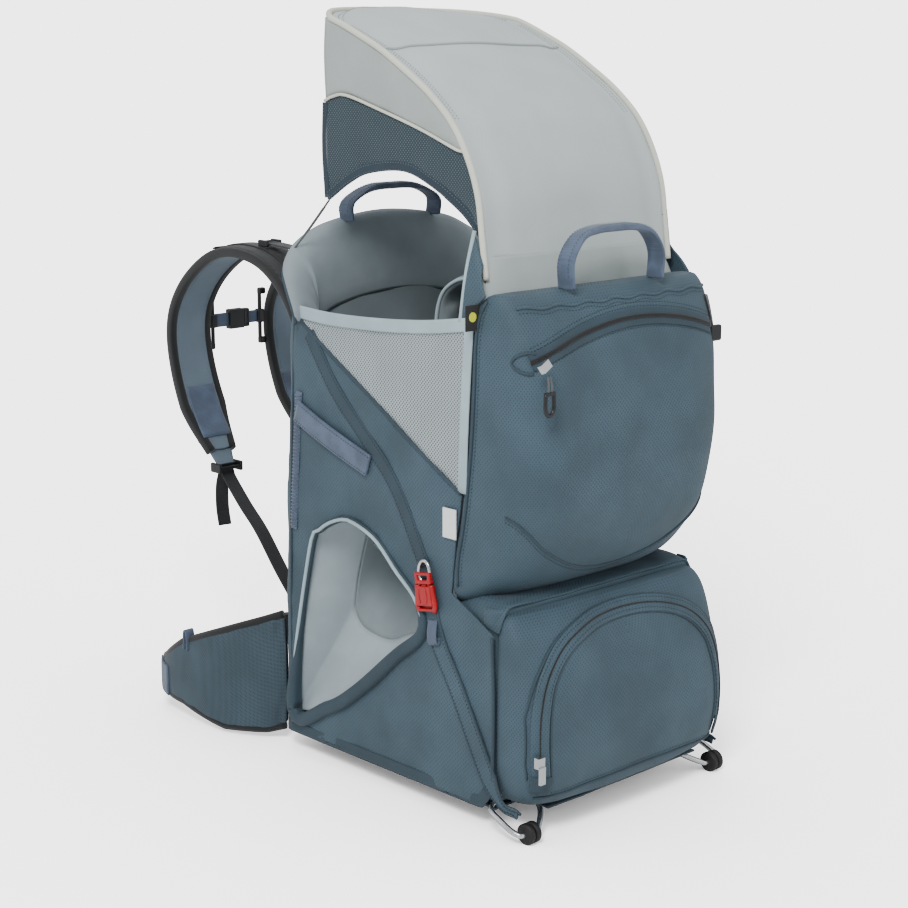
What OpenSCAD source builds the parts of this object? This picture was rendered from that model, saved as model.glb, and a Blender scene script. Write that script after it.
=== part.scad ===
// Framed child carrier backpack: tube frame, folding base, daypack, sunshade, harness and hip belt.
// +Z is up, the wearer stands at +Y and the daypack is at -Y. Left means -X. Sizes are millimetres.

/* [Frame] */
// Distance between the centre lines of the two back tubes
frame_w = 280; // [270:1:284]
// Height of the back frame's top bar above the floor
frame_h = 620; // [600:5:640]
// Outer radius of the back frame tube
tube_r = 8; // [6:0.5:8]
// Bend radius of the frame's corners
bend_r = 60; // [45:5:70]
// Radius of the wire of the rear stand
wire_r = 3; // [2.5:0.5:3]

/* [Folding base] */
// Length of each folding brace, pivot to pivot
brace_l = 165; // [160:1:165]
// Height of the brace pivots above the floor
pivot_z = 46; // [44:1:50]
// Radius of the pivot pins
pin_r = 3; // [2.5:0.5:3]
// Radial clearance of a pin in its eye
pin_gap = 0.05; // [0.02:0.01:0.1]

/* [Bags] */
// Half width of the daypack and the lower bag
bag_hw = 164; // [155:1:164]
// Height of the daypack's top
daypack_top = 599; // [590:1:599]
// Wall thickness of the padded bags
bag_wall = 5; // [3:1:8]

/* [Sunshade] */
// Half width of the sunshade's fabric
shade_hw = 146; // [140:1:146]
// Thickness of the sunshade's fabric
shade_t = 3; // [2:0.5:3]

/* [Harness] */
// Width of a shoulder strap
strap_w = 70; // [60:1:70]
// Thickness of a shoulder strap
strap_t = 14; // [10:1:14]
// Thickness of the hip belt's wings
wing_t = 14; // [10:1:14]

/* [Hidden] */
$fn = 48;
// The model is drawn from a datum 225 mm in front of the back tubes, then centred on its own box.
mid_y = 174;
tube_x = frame_w / 2;
back_y = 225;
root_pivot_y = 205;
mid_pivot_y = root_pivot_y - brace_l;
rear_pivot_y = mid_pivot_y - brace_l;
frame_z0 = 14;
side_x = 162;
side_t = 4;
web_t = 2;
rear_wire_y = -96;
shade_pivot = [-90, 604];
rail_x = 40;
rail_y = 541;

// ---- shared shapes -------------------------------------------------------------------------
module placed() translate([0, -mid_y, 0]) children();
module both() { children(); mirror([1, 0, 0]) children(); }

// A straight round rod between two points.
module link(a, b, r) {
    d = b - a;
    translate(a) rotate([0, acos(d[2] / norm(d)), atan2(d[1], d[0])]) cylinder(h = norm(d), r = r);
}

// The two triangles between corners k and m of one ring, which starts at corner a, and of the next ring.
function pair_of_faces(a, k, m, n) = [[a + k, a + n + k, a + n + m], [a + k, a + n + m, a + m]];

// A many-sided rod swept along a line of points, none of whose stretches runs along ref.
module bent_rod(p, r, ref, n = 10) {
    last = len(p) - 1;
    polyhedron([for (i = [0 : last])
            let (t = run(p, i) / norm(run(p, i)), c = cross(t, ref), u = c / norm(c))
            for (k = [0 : n - 1]) p[i] + r * (cos(360 * k / n) * u + sin(360 * k / n) * cross(t, u))],
        concat([[for (k = [0 : n - 1]) k]], [[for (k = [n - 1 : -1 : 0]) last * n + k]],
            [for (i = [0 : last - 1]) for (k = [0 : n - 1]) each pair_of_faces(i * n, k, (k + 1) % n, n)]));
}

// A plate drawn in (y, z) and extruded along X, and one drawn in (x, z) and extruded along Y.
module yz_plate(x0, x1) translate([x0, 0, 0]) rotate([90, 0, 90]) linear_extrude(x1 - x0) children();
module xz_plate(y0, y1) translate([0, y1, 0]) rotate([90, 0, 0]) linear_extrude(y1 - y0) children();

// The outline of a ribbon of thickness t along a line of points.
function run(p, i) = p[min(i + 1, len(p) - 1)] - p[max(i - 1, 0)];
function side_of(p, i) = [-run(p, i)[1], run(p, i)[0]] / norm(run(p, i));
function ribbon(p, t) = concat([for (i = [0 : len(p) - 1]) p[i] + side_of(p, i) * t / 2],
    [for (i = [len(p) - 1 : -1 : 0]) p[i] - side_of(p, i) * t / 2]);
function there_and_back(p) = concat([for (q = p) [-q[0], q[1], q[2]]],
    [for (i = [len(p) - 1 : -1 : 0]) p[i]]);
function arc(c, r, a0, a1, n) = [for (i = [0 : n]) let (a = a0 + (a1 - a0) * i / n) c + r * [cos(a), sin(a)]];

// ---- back frame ----------------------------------------------------------------------------
module bend(x, z, turn) translate([x, back_y, z]) rotate([90, 0, 0]) rotate([0, 0, turn])
    rotate_extrude(angle = 90) translate([bend_r, 0]) circle(r = tube_r);
module back_frame() color("dimgray") placed() {
    both() {
        translate([tube_x, back_y, frame_z0 + bend_r])
            cylinder(h = frame_h - frame_z0 - 2 * bend_r, r = tube_r);
        bend(tube_x - bend_r, frame_h - bend_r, 0);
        bend(tube_x - bend_r, frame_z0 + bend_r, 270);
    }
    for (z = [frame_z0, frame_h]) translate([-(tube_x - bend_r), back_y, z]) rotate([0, 90, 0])
        cylinder(h = 2 * (tube_x - bend_r), r = tube_r);
}
module frame_crossbars() color("gray") placed()
    for (z = [130, 500]) translate([-tube_x + tube_r, back_y, z]) rotate([0, 90, 0])
        cylinder(h = 2 * (tube_x - tube_r), r = 6);
module back_feet() color("black") placed() both() difference() {
    translate([44, back_y - 13, 0]) cube([32, 26, 25]);
    translate([40, back_y, frame_z0]) rotate([0, 90, 0]) cylinder(h = 40, r = tube_r);
}

// ---- folding base --------------------------------------------------------------------------
back_bar_x = 149.5;
front_bar_x = 155.5;
bar_t = 4;
module brace(x, y0, y1, r0, r1) yz_plate(x, x + bar_t) difference() {
    union() {
        translate([y0, pivot_z]) circle(r = 9);
        translate([y1, pivot_z]) circle(r = 9);
        translate([y1, pivot_z - 6]) square([y0 - y1, 12]);
    }
    translate([y0, pivot_z]) circle(r = r0);
    translate([y1, pivot_z]) circle(r = r1);
}
module pivot_pin(y, x0, x1) {
    translate([x0, y, pivot_z]) rotate([0, 90, 0]) cylinder(h = x1 - x0, r = pin_r);
    translate([x1, y, pivot_z]) rotate([0, 90, 0]) cylinder(h = 1, r = pin_r + 2);
}
module hinge_brackets() color("silver") placed() both() {
    translate([124, root_pivot_y - 8, pivot_z - 8]) cube([24.5, 20, 20]);
    pivot_pin(root_pivot_y, 148, back_bar_x + bar_t + 0.5);
}
module brace_bars_back() color("silver") placed() both()
    brace(back_bar_x, root_pivot_y, mid_pivot_y, pin_r + pin_gap, pin_r);
module brace_mid_rod() color("silver") placed() {
    translate([-160, mid_pivot_y, pivot_z]) rotate([0, 90, 0]) cylinder(h = 320, r = pin_r);
    both() translate([160, mid_pivot_y, pivot_z]) rotate([0, 90, 0]) cylinder(h = 1, r = pin_r + 2);
}
module brace_bars_front() color("silver") placed() both()
    brace(front_bar_x, mid_pivot_y, rear_pivot_y, pin_r + pin_gap, pin_r + pin_gap);

// ---- rear stand: one bent wire hoop whose base dips through two rubber feet ------------------
module rear_stand() color("lightgray") placed() {
    hoop = [[138, rear_pivot_y, 54], [138, rear_wire_y - 1, 240], [138, rear_wire_y, 562],
        [135, rear_wire_y, 576], [129, rear_wire_y, 582], [116, rear_wire_y, 585]];
    base = [[140, rear_pivot_y, 40], [152, -125, 35], [166, -127, 30], [172, -135, 27], [174, -150, 22],
        [174, -165, 16], [172, -174, 13], [168, -178, 12], [146, -178, 12], [140, -175, 14],
        [130, -168, 19], [120, -158, 25], [111, -142, 28], [104, -130, 28], [92, rear_pivot_y, 28]];
    bent_rod(there_and_back(hoop), wire_r, [0, 1, 0]);
    bent_rod(there_and_back(base), wire_r, [0, 0, 1]);
}
module stand_brackets() color("silver") placed() both() {
    translate([128, rear_pivot_y - 8, pivot_z - 8]) cube([24, 16, 16]);
    pivot_pin(rear_pivot_y, 152, front_bar_x + bar_t + 0.5);
}
module front_feet() color("black") placed() both() for (x = [149, 158]) difference() {
    translate([x, -178, 12]) rotate([0, 90, 0]) cylinder(h = 7, r = 12);
    translate([x - 1, -178, 12]) rotate([0, 90, 0]) cylinder(h = 9, r = wire_r + pin_gap);
}

// ---- soft body -----------------------------------------------------------------------------
leg_hole = [[218, 56], [150, 74], [96, 109], [25, 170], [-18, 207], [-10, 243], [24, 271], [58, 300],
    [93, 313], [120, 314], [157, 296], [180, 262]];
mesh_edge = [[-79, 379], [-11, 417], [56, 458], [143, 509], [197, 543]];
module side_panel() color("steelblue") placed() yz_plate(side_x, side_x + side_t) difference() {
    polygon(concat([[240, 26], [234, 341], [214, 600]], [for (i = [4 : -1 : 0]) mesh_edge[i]],
        [[-62, 262], [-130, 228], [-130, 60], [-112, 26]]));
    polygon(leg_hole);
}
module mesh_panel() color("lightgray") placed() yz_plate(side_x, side_x + side_t)
    polygon(concat([for (p = mesh_edge) p + [0, 1]], [[197.5, 552], [140, 549], [60, 552], [-91, 566]]));
module side_panel_left() mirror([1, 0, 0]) side_panel();
module side_panel_right() side_panel();
module mesh_panel_left() mirror([1, 0, 0]) mesh_panel();
module mesh_panel_right() mesh_panel();
module base_panel() color("steelblue") placed() translate([-146, -118, 19]) cube([292, 314, 6]);
module back_panel() color("steelblue") placed() xz_plate(208, 214)
    translate([-118, 60]) square([236, 480]);
module cockpit_rim() color("lightsteelblue") placed() translate([0, 0, 552]) linear_extrude(94)
    polygon(ribbon(concat(arc([-94, 154], 58, 180, 90, 8), arc([94, 154], 58, 90, 0, 8)), 8));
module side_handles() color("slategray") placed() both()
    yz_plate(side_x + side_t + 1.5, side_x + side_t + 5.5)
    polygon(ribbon([[200, 432], [150, 413], [71, 386]], 27));
module upper_stays() color("slategray") placed() both() yz_plate(side_x + side_t, side_x + side_t + 1.2)
    polygon(ribbon([[176, 525], [134, 468], [91, 428], [30, 370], [-20, 286]], 16));
module lower_stays() color("slategray") placed() both() {
    yz_plate(side_x + side_t + 0.5, side_x + side_t + 2)
        polygon(ribbon([[-30, 234], [-44, 200], [-76, 150], [-140, 38], [-178, 33]], 16));
    translate([side_x - 6, -184, 25]) cube([12, 12, 8]);
}
module side_tabs() color("white") placed() {
    mirror([1, 0, 0]) translate([168.5, -74, 325]) cube([2, 22, 36]);
    mirror([1, 0, 0]) translate([150, -99, 566]) cube([22, 2, 26]);
}

// ---- bags ----------------------------------------------------------------------------------
daypack_side = [[-101, daypack_top], [-143, daypack_top], [-153, 533], [-157, 427], [-149, 353],
    [-128, 288], [-101, 262]];
daypack_mid = [[-101, daypack_top], [-150, daypack_top], [-171, 572], [-179, 532], [-183, 490],
    [-190, 430], [-186, 340], [-158, 276], [-101, 252]];
lower_side = [[-137, 236], [-152, 230], [-168, 205], [-182, 110], [-184, 60], [-176, 38], [-137, 36]];
lower_mid = [[-137, 246], [-158, 248], [-176, 234], [-192, 150], [-198, 90], [-196, 54],
    [-184, 35], [-137, 34]];
module bag(side, mid, hw, mid_hw) hull() {
    yz_plate(-hw, hw) polygon(side);
    yz_plate(-mid_hw, mid_hw) polygon(mid);
}
function shrunk(p, c) = [for (q = p) q + (c - q) / norm(c - q) * bag_wall * 1.4];
module hollow_bag(side, mid, hw, mid_hw, c) difference() {
    bag(side, mid, hw, mid_hw);
    bag(shrunk(side, c), shrunk(mid, c), hw - bag_wall, mid_hw - bag_wall);
}
module daypack() color("steelblue") placed()
    hollow_bag(daypack_side, daypack_mid, bag_hw, 150, [-128, 430]);
module lower_bag() color("steelblue") placed()
    hollow_bag(lower_side, lower_mid, bag_hw, 130, [-160, 120]);
module seat_back() color("lightsteelblue") placed() translate([-112, -89, 285]) cube([224, 20, 280]);
module compression_pulls() color("black") placed() for (z = [118, 146]) {
    translate([bag_hw + 1, -160, z]) cube([8, 6, 22]);
    translate([bag_hw + 3, -166, z + 6]) cube([4, 5, 6]);
}

// ---- release buckles on the side stays --------------------------------------------------------
side_buckle = [-29, 248];
buckle_lean = atan2(7, 41);
module on_stay() translate([side_x + side_t + 2.5, side_buckle[0], side_buckle[1]])
    rotate([-buckle_lean, 0, 0]) children();
module side_female() color("red") placed() on_stay() difference() {
    translate([0, -14, -12]) cube([9, 28, 30]);
    translate([2, -10.5, -2]) cube([5, 21, 21]);
}
module side_male() color("red") placed() on_stay() {
    translate([2.5, -9.5, 1]) cube([4, 19, 17.6]);
    translate([1, -13, 18.6]) cube([7, 26, 14]);
}
module side_buckle_female_left() mirror([1, 0, 0]) side_female();
module side_buckle_female_right() side_female();
module side_buckle_male_left() mirror([1, 0, 0]) side_male();
module side_buckle_male_right() side_male();

// ---- sunshade ------------------------------------------------------------------------------
shade_line = [[-98, 612], [-92, 655], [-85, 700], [-69, 740], [-45, 775], [-10, 805], [30, 830],
    [66, 850], [100, 865], [150, 884], [195, 893], [240, 897]];
wing_hem = [[168, 682], [130, 703], [95, 716], [36, 721], [-10, 707], [-60, 680], [-86, 657]];
brim_r = 168;
piping_r = 2.4;
brim_y = 68;
module canopy_sheet() color("gainsboro") placed() intersection() {
    yz_plate(-shade_hw, shade_hw) polygon(ribbon(shade_line, shade_t));
    translate([0, 0, 600]) linear_extrude(320) union() {
        translate([-shade_hw, -120]) square([2 * shade_hw, 120 + brim_y + 83]);
        translate([0, brim_y]) circle(r = brim_r);
    }
}
module canopy_side() color("darkslategray") placed() yz_plate(141, 143)
    polygon(concat(wing_hem, [for (i = [2 : 9]) shade_line[i] + [3, -5]], [[162, 880]]));
module canopy_side_left() mirror([1, 0, 0]) canopy_side();
module canopy_side_right() canopy_side();
module canopy_hoop() color("whitesmoke") placed() {
    both() {
        bent_rod(concat([[151, -91, 611]], [for (i = [1 : 9]) [151, shade_line[i][0], shade_line[i][1]]]),
            piping_r, [1, 0, 0]);
        translate([149, shade_pivot[0], shade_pivot[1]]) rotate([0, 90, 0]) difference() {
            cylinder(h = 5, r = 8.5);
            translate([0, 0, -1]) cylinder(h = 7, r = pin_r + pin_gap);
        }
    }
    bent_rod([for (a = [0 : 8]) let (t = 28 + a * 15.5)
        [(brim_r + 5) * cos(t), brim_y + (brim_r + 5) * sin(t), 884 + 13 * sin(a * 22.5)]],
        piping_r, [0, 0, 1]);
}
module canopy_cords() color("dimgray") placed() both() {
    link([144, 166, 681], [149, 238, 612], 1.2);
    translate([145, 232, 598]) cube([8, 10, 14]);
}
module canopy_pivots() color("black") placed() both() {
    translate([132, shade_pivot[0] - 7, 588]) cube([16.5, 14, 23]);
    translate([148, shade_pivot[0], shade_pivot[1]]) rotate([0, 90, 0]) cylinder(h = 6.5, r = pin_r);
}

// ---- wearer's side ---------------------------------------------------------------------------
module lumbar_pad() color("dimgray") placed() both() xz_plate(235, 255) translate([14, 40]) square([91, 170]);
module belt_anchors() color("dimgray") placed() both() translate([107, 236, 40]) cube([32, 18, 120]);
module torso_ladder() color("black") placed() xz_plate(234, 238) translate([-36, 330]) square([72, 250]);
module yoke() color("dimgray") placed() {
    xz_plate(239, 249) translate([-82, 430]) square([164, 90]);
}
strap_line = [[256, 500], [290, 553], [335, 588], [390, 600], [445, 592], [497, 560], [530, 520],
    [540, 478], [530, 425], [505, 370], [474, 328]];
module strap() color("lightslategray") placed() yz_plate(46, 46 + strap_w)
    polygon(ribbon(strap_line, strap_t));
module shoulder_strap_left() mirror([1, 0, 0]) strap();
module shoulder_strap_right() strap();
module load_lifters() color("black") placed() both() {
    yz_plate(70, 90) polygon(ribbon([[252, 606], [300, 608], [360, 612]], web_t));
    translate([68, 352, 608]) cube([24, 18, 8]);
}
module strap_adjusters() color("black") placed() both() translate([62, 452, 297]) cube([38, 20, 22]);
module webbing() color("black") placed() yz_plate(70, 90)
    polygon(ribbon([[458, 294], [425, 262], [390, 232], [345, 182], [300, 142], [258, 128]], web_t));
module strap_webbing_left() mirror([1, 0, 0]) webbing();
module strap_webbing_right() webbing();
module sternum_rails() color("black") placed() both() {
    translate([rail_x, rail_y, 452]) cylinder(h = 76, r = 2.5);
    for (z = [452, 520]) translate([rail_x - 3, rail_y - 3.5, z]) cube([11, 7, 8]);
}
module rail_slider() difference() {
    translate([-5.5, -5, -9]) cube([11, 10, 18]);
    translate([0, 0, -10]) cylinder(h = 20, r = 2.56);
}
module sternum_left() color("black") placed() {
    translate([-rail_x, rail_y, 490]) rail_slider();
    translate([-rail_x + 5, rail_y - 1, 481]) cube([23, web_t, 18]);
    difference() {
        translate([-14, rail_y - 5, 477]) cube([24, 10, 26]);
        translate([-6, rail_y - 3, 480]) cube([17, 6, 20]);
    }
}
module sternum_right() color("black") placed() {
    translate([rail_x, rail_y, 490]) rail_slider();
    translate([28, rail_y - 1, 482]) cube([rail_x - 33, web_t, 16]);
}
module sternum_buckle_male() color("black") placed() {
    translate([-5, rail_y - 2.6, 481]) cube([15.4, 5.2, 18]);
    difference() {
        translate([10.4, rail_y - 4, 478]) cube([9, 8, 24]);
        translate([13, rail_y - 2, 480.5]) cube([10, 4, 19]);
    }
}

// ---- hip belt ------------------------------------------------------------------------------
wing_plan = [[150, 252], [176, 292], [192, 335], [198, 380], [196, 425], [186, 458], [170, 482]];
wing_side = [[243, 24], [275, 13], [330, 9], [405, 24], [455, 24], [492, 28], [492, 58], [455, 72],
    [405, 104], [330, 134], [275, 156], [243, 170]];
module wing() color("steelblue") placed() intersection() {
    linear_extrude(200) polygon(ribbon(wing_plan, wing_t));
    yz_plate(120, 220) polygon(wing_side);
}
module belt_webbing() linear_extrude(38)
    polygon(ribbon([[164, 489], [140, 502], [104, 509], [60, 512]], web_t));
module belt_wing_left() mirror([1, 0, 0]) wing();
module belt_wing_right() wing();
module belt_buckle_female() color("black") placed() mirror([1, 0, 0]) {
    translate([0, 0, 24]) belt_webbing();
    difference() {
        translate([18, 505, 20]) cube([42, 14, 46]);
        translate([17, 508, 25]) cube([30, 8, 36]);
    }
}
module belt_buckle_male() color("black") placed() {
    translate([0, 0, 24]) belt_webbing();
    translate([44, 506, 21]) cube([16, 12, 44]);
    translate([18, 509, 27]) cube([26, 6, 32]);
}

// ---- child's seat --------------------------------------------------------------------------
module saddle() color("lightsteelblue") placed() {
    translate([-52, -60, 205]) cube([104, 230, 24]);
    translate([-52, 150, 229]) cube([104, 20, 90]);
}
module child_harness() color("lightsteelblue") placed() both() translate([62, -4, 500])
    yz_plate(-16, 16) difference() {
        union() {
            translate([0, 40]) circle(r = 60);
            translate([-60, -40]) square([120, 80]);
        }
        translate([0, 34]) circle(r = 38);
        translate([-38, -60]) square([76, 94]);
    }

// ---- zips and handles --------------------------------------------------------------------------
// The daypack's zip runs on an arc whose plane leans with the face.
zip_r = 370;
zip_turn = 26;
zip_lean = 19.3;
zip_centre = [10, -297.2, 215.8];
module daypack_zip_slider() color("black") placed() translate(zip_centre) rotate([-zip_lean, 0, 0])
    rotate([0, -zip_turn, 0]) translate([-7, -6, zip_r - 4]) cube([14, 6, 9]);
module daypack_zip_cord() color("black") placed() {
    link([-152, -195.5, 521], [-152, -197, 502], 1.6);
    bent_rod([[-158, -197, 504], [-158, -197, 487], [-156, -197, 482], [-152, -197, 480],
        [-148, -197, 482], [-146, -197, 487], [-146, -197, 504]], 2, [0, 1, 0]);
    translate([-160, -198.5, 501]) cube([16, 3, 4]);
}
module lower_zip_slider() color("gray") placed() {
    translate([-163, -197, 92]) cube([10, 7, 12]);
    translate([-162, -199, 74]) cube([8, 3, 20]);
}
// A webbing loop on two narrow tabs, so that it can lean without its edges meeting what it stands on.
module handle_loop(hw, rise, w) intersection() {
    xz_plate(-w / 2, w / 2) polygon(ribbon(concat([[-hw, 0]], arc([-hw + 26, rise - 26], 26, 180, 100, 6),
        arc([hw - 26, rise - 26], 26, 80, 0, 6), [[hw, 0]]), 5));
    union() {
        translate([-hw - 10, -3, 0]) cube([2 * hw + 20, 6, rise + 10]);
        translate([-hw - 10, -w, 14]) cube([2 * hw + 20, 2 * w, rise]);
    }
}
module top_handle() color("slategray") placed() translate([0, -144, 602]) handle_loop(72, 62, 26);
module front_handle() color("slategray") placed() translate([0, 221, 650]) handle_loop(70, 40, 26);

back_frame();
frame_crossbars();
back_feet();
hinge_brackets();
back_panel();
lumbar_pad();
torso_ladder();
belt_anchors();
cockpit_rim();
side_panel_left();
side_panel_right();
mesh_panel_left();
mesh_panel_right();
base_panel();
side_handles();
upper_stays();
strap_webbing_left();
strap_webbing_right();
brace_bars_back();
brace_mid_rod();
brace_bars_front();
rear_stand();
stand_brackets();
front_feet();
daypack();
lower_bag();
seat_back();
canopy_pivots();
lower_stays();
side_buckle_female_left();
side_buckle_female_right();
side_buckle_male_left();
side_buckle_male_right();
side_tabs();
compression_pulls();
canopy_hoop();
canopy_sheet();
canopy_side_left();
canopy_side_right();
canopy_cords();
yoke();
shoulder_strap_left();
shoulder_strap_right();
load_lifters();
strap_adjusters();
sternum_rails();
sternum_left();
sternum_right();
sternum_buckle_male();
belt_wing_left();
belt_wing_right();
belt_buckle_female();
belt_buckle_male();
saddle();
child_harness();
daypack_zip_slider();
daypack_zip_cord();
lower_zip_slider();
top_handle();
front_handle();
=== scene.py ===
"""Looks of a framed child carrier backpack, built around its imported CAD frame.

Points are given in design millimetres: X across, Y towards the wearer with the back tubes at
BACK_Y, Z up from the floor. at() turns them into the row frame's metres. Left is -X.
"""
import math

import bpy
import numpy as np
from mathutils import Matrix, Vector, noise
from mathutils.bvhtree import BVHTree
from mathutils.geometry import delaunay_2d_cdt


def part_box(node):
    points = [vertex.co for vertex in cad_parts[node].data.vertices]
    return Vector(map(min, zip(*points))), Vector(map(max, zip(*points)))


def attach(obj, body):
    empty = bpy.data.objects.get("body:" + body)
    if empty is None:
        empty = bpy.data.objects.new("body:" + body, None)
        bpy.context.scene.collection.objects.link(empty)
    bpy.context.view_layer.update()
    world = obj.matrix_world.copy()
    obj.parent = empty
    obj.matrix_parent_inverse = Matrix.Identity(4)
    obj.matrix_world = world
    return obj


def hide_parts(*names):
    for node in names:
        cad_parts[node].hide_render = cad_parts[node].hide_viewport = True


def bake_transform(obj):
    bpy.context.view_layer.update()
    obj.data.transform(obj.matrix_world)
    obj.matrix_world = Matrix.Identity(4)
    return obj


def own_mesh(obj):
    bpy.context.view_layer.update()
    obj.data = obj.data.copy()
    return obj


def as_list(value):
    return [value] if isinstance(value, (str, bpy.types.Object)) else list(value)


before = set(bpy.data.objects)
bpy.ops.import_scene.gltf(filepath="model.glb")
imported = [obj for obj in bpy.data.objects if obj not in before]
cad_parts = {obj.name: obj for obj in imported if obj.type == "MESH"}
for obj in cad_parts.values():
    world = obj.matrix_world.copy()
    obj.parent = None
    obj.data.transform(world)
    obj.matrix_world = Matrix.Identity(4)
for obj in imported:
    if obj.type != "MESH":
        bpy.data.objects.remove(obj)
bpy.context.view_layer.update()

MM = 0.001
BACK_Y = 225
SIDE_X = 165
BACK_FACE = 241
STAND_TRAVEL = 206.4
tube_low, tube_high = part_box("back_frame")
DATUM = Vector((0, (tube_low.y + tube_high.y) / 2 - BACK_Y * MM, 0))
FOLD_DEPTH = 316
FOLD_KEEP = 1 - STAND_TRAVEL / FOLD_DEPTH
SIDES = ((-1, "left"), (1, "right"))


def at(x, y, z):
    """A design point, in the row frame."""
    return DATUM + Vector((x, y, z)) * MM


# ---- camera, lights and floor ---------------------------------------------------------------
def studio():
    scene = bpy.context.scene
    camera = bpy.data.objects.new("camera", bpy.data.cameras.new("camera"))
    scene.collection.objects.link(camera)
    camera.data.lens = 75.9
    camera.data.sensor_width = 36
    target, distance = at(-96, 7, 399), 2.19
    turn, rise = math.radians(-43.4), math.radians(12.3)
    back = Vector((math.sin(turn) * math.cos(rise), -math.cos(turn) * math.cos(rise), math.sin(rise)))
    camera.location = target + back * distance
    camera.rotation_euler = (-back).to_track_quat("-Z", "Y").to_euler()
    scene.camera = camera

    world = bpy.data.worlds.new("studio")
    scene.world = world
    world.use_nodes = True
    nodes, links = world.node_tree.nodes, world.node_tree.links
    backdrop, pick = nodes.new("ShaderNodeBackground"), nodes.new("ShaderNodeMixShader")
    for glow, tint, power in ((nodes["Background"], (0.95, 0.97, 1, 1), 0.62), (backdrop, (1, 1, 1, 1), 4)):
        glow.inputs["Color"].default_value = tint
        glow.inputs["Strength"].default_value = power
    links.new(nodes.new("ShaderNodeLightPath").outputs["Is Camera Ray"], pick.inputs[0])
    links.new(nodes["Background"].outputs[0], pick.inputs[1])
    links.new(backdrop.outputs[0], pick.inputs[2])
    links.new(pick.outputs[0], nodes["World Output"].inputs["Surface"])
    for name, place, size, power in (
        ("key", (-1.7, -1.3, 2.2), 0.8, 52),
        ("front", (0.9, -2.2, 1.2), 1.6, 9),
        ("fill", (-2.2, 1.2, 1.2), 1.6, 9),
        ("top", (0.2, 0.4, 2.6), 1.6, 18),
    ):
        lamp = bpy.data.objects.new(name, bpy.data.lights.new(name, "AREA"))
        scene.collection.objects.link(lamp)
        lamp.data.size = size
        lamp.data.energy = power
        lamp.location = place
        lamp.rotation_euler = (Vector((0, 0, 0.42)) - Vector(place)).to_track_quat("-Z", "Y").to_euler()

    floor = bpy.data.objects.new("floor", bpy.data.meshes.new("floor"))
    reach = 6
    corners = [(-reach, -reach, 0), (reach, -reach, 0), (reach, reach, 0), (-reach, reach, 0)]
    floor.data.from_pydata(corners, [], [(0, 1, 2, 3)])
    scene.collection.objects.link(floor)
    floor.data.materials.append(plain("floor_white", (1.0, 1.0, 1.0), 0.9))
    floor.is_shadow_catcher = True


# ---- materials ------------------------------------------------------------------------------
def linear(code):
    """An sRGB hex colour as linear RGBA."""
    parts = [int(code[i:i + 2], 16) / 255 for i in (1, 3, 5)]
    return tuple(c / 12.92 if c <= 0.04045 else ((c + 0.055) / 1.055) ** 2.4 for c in parts) + (1,)


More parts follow.
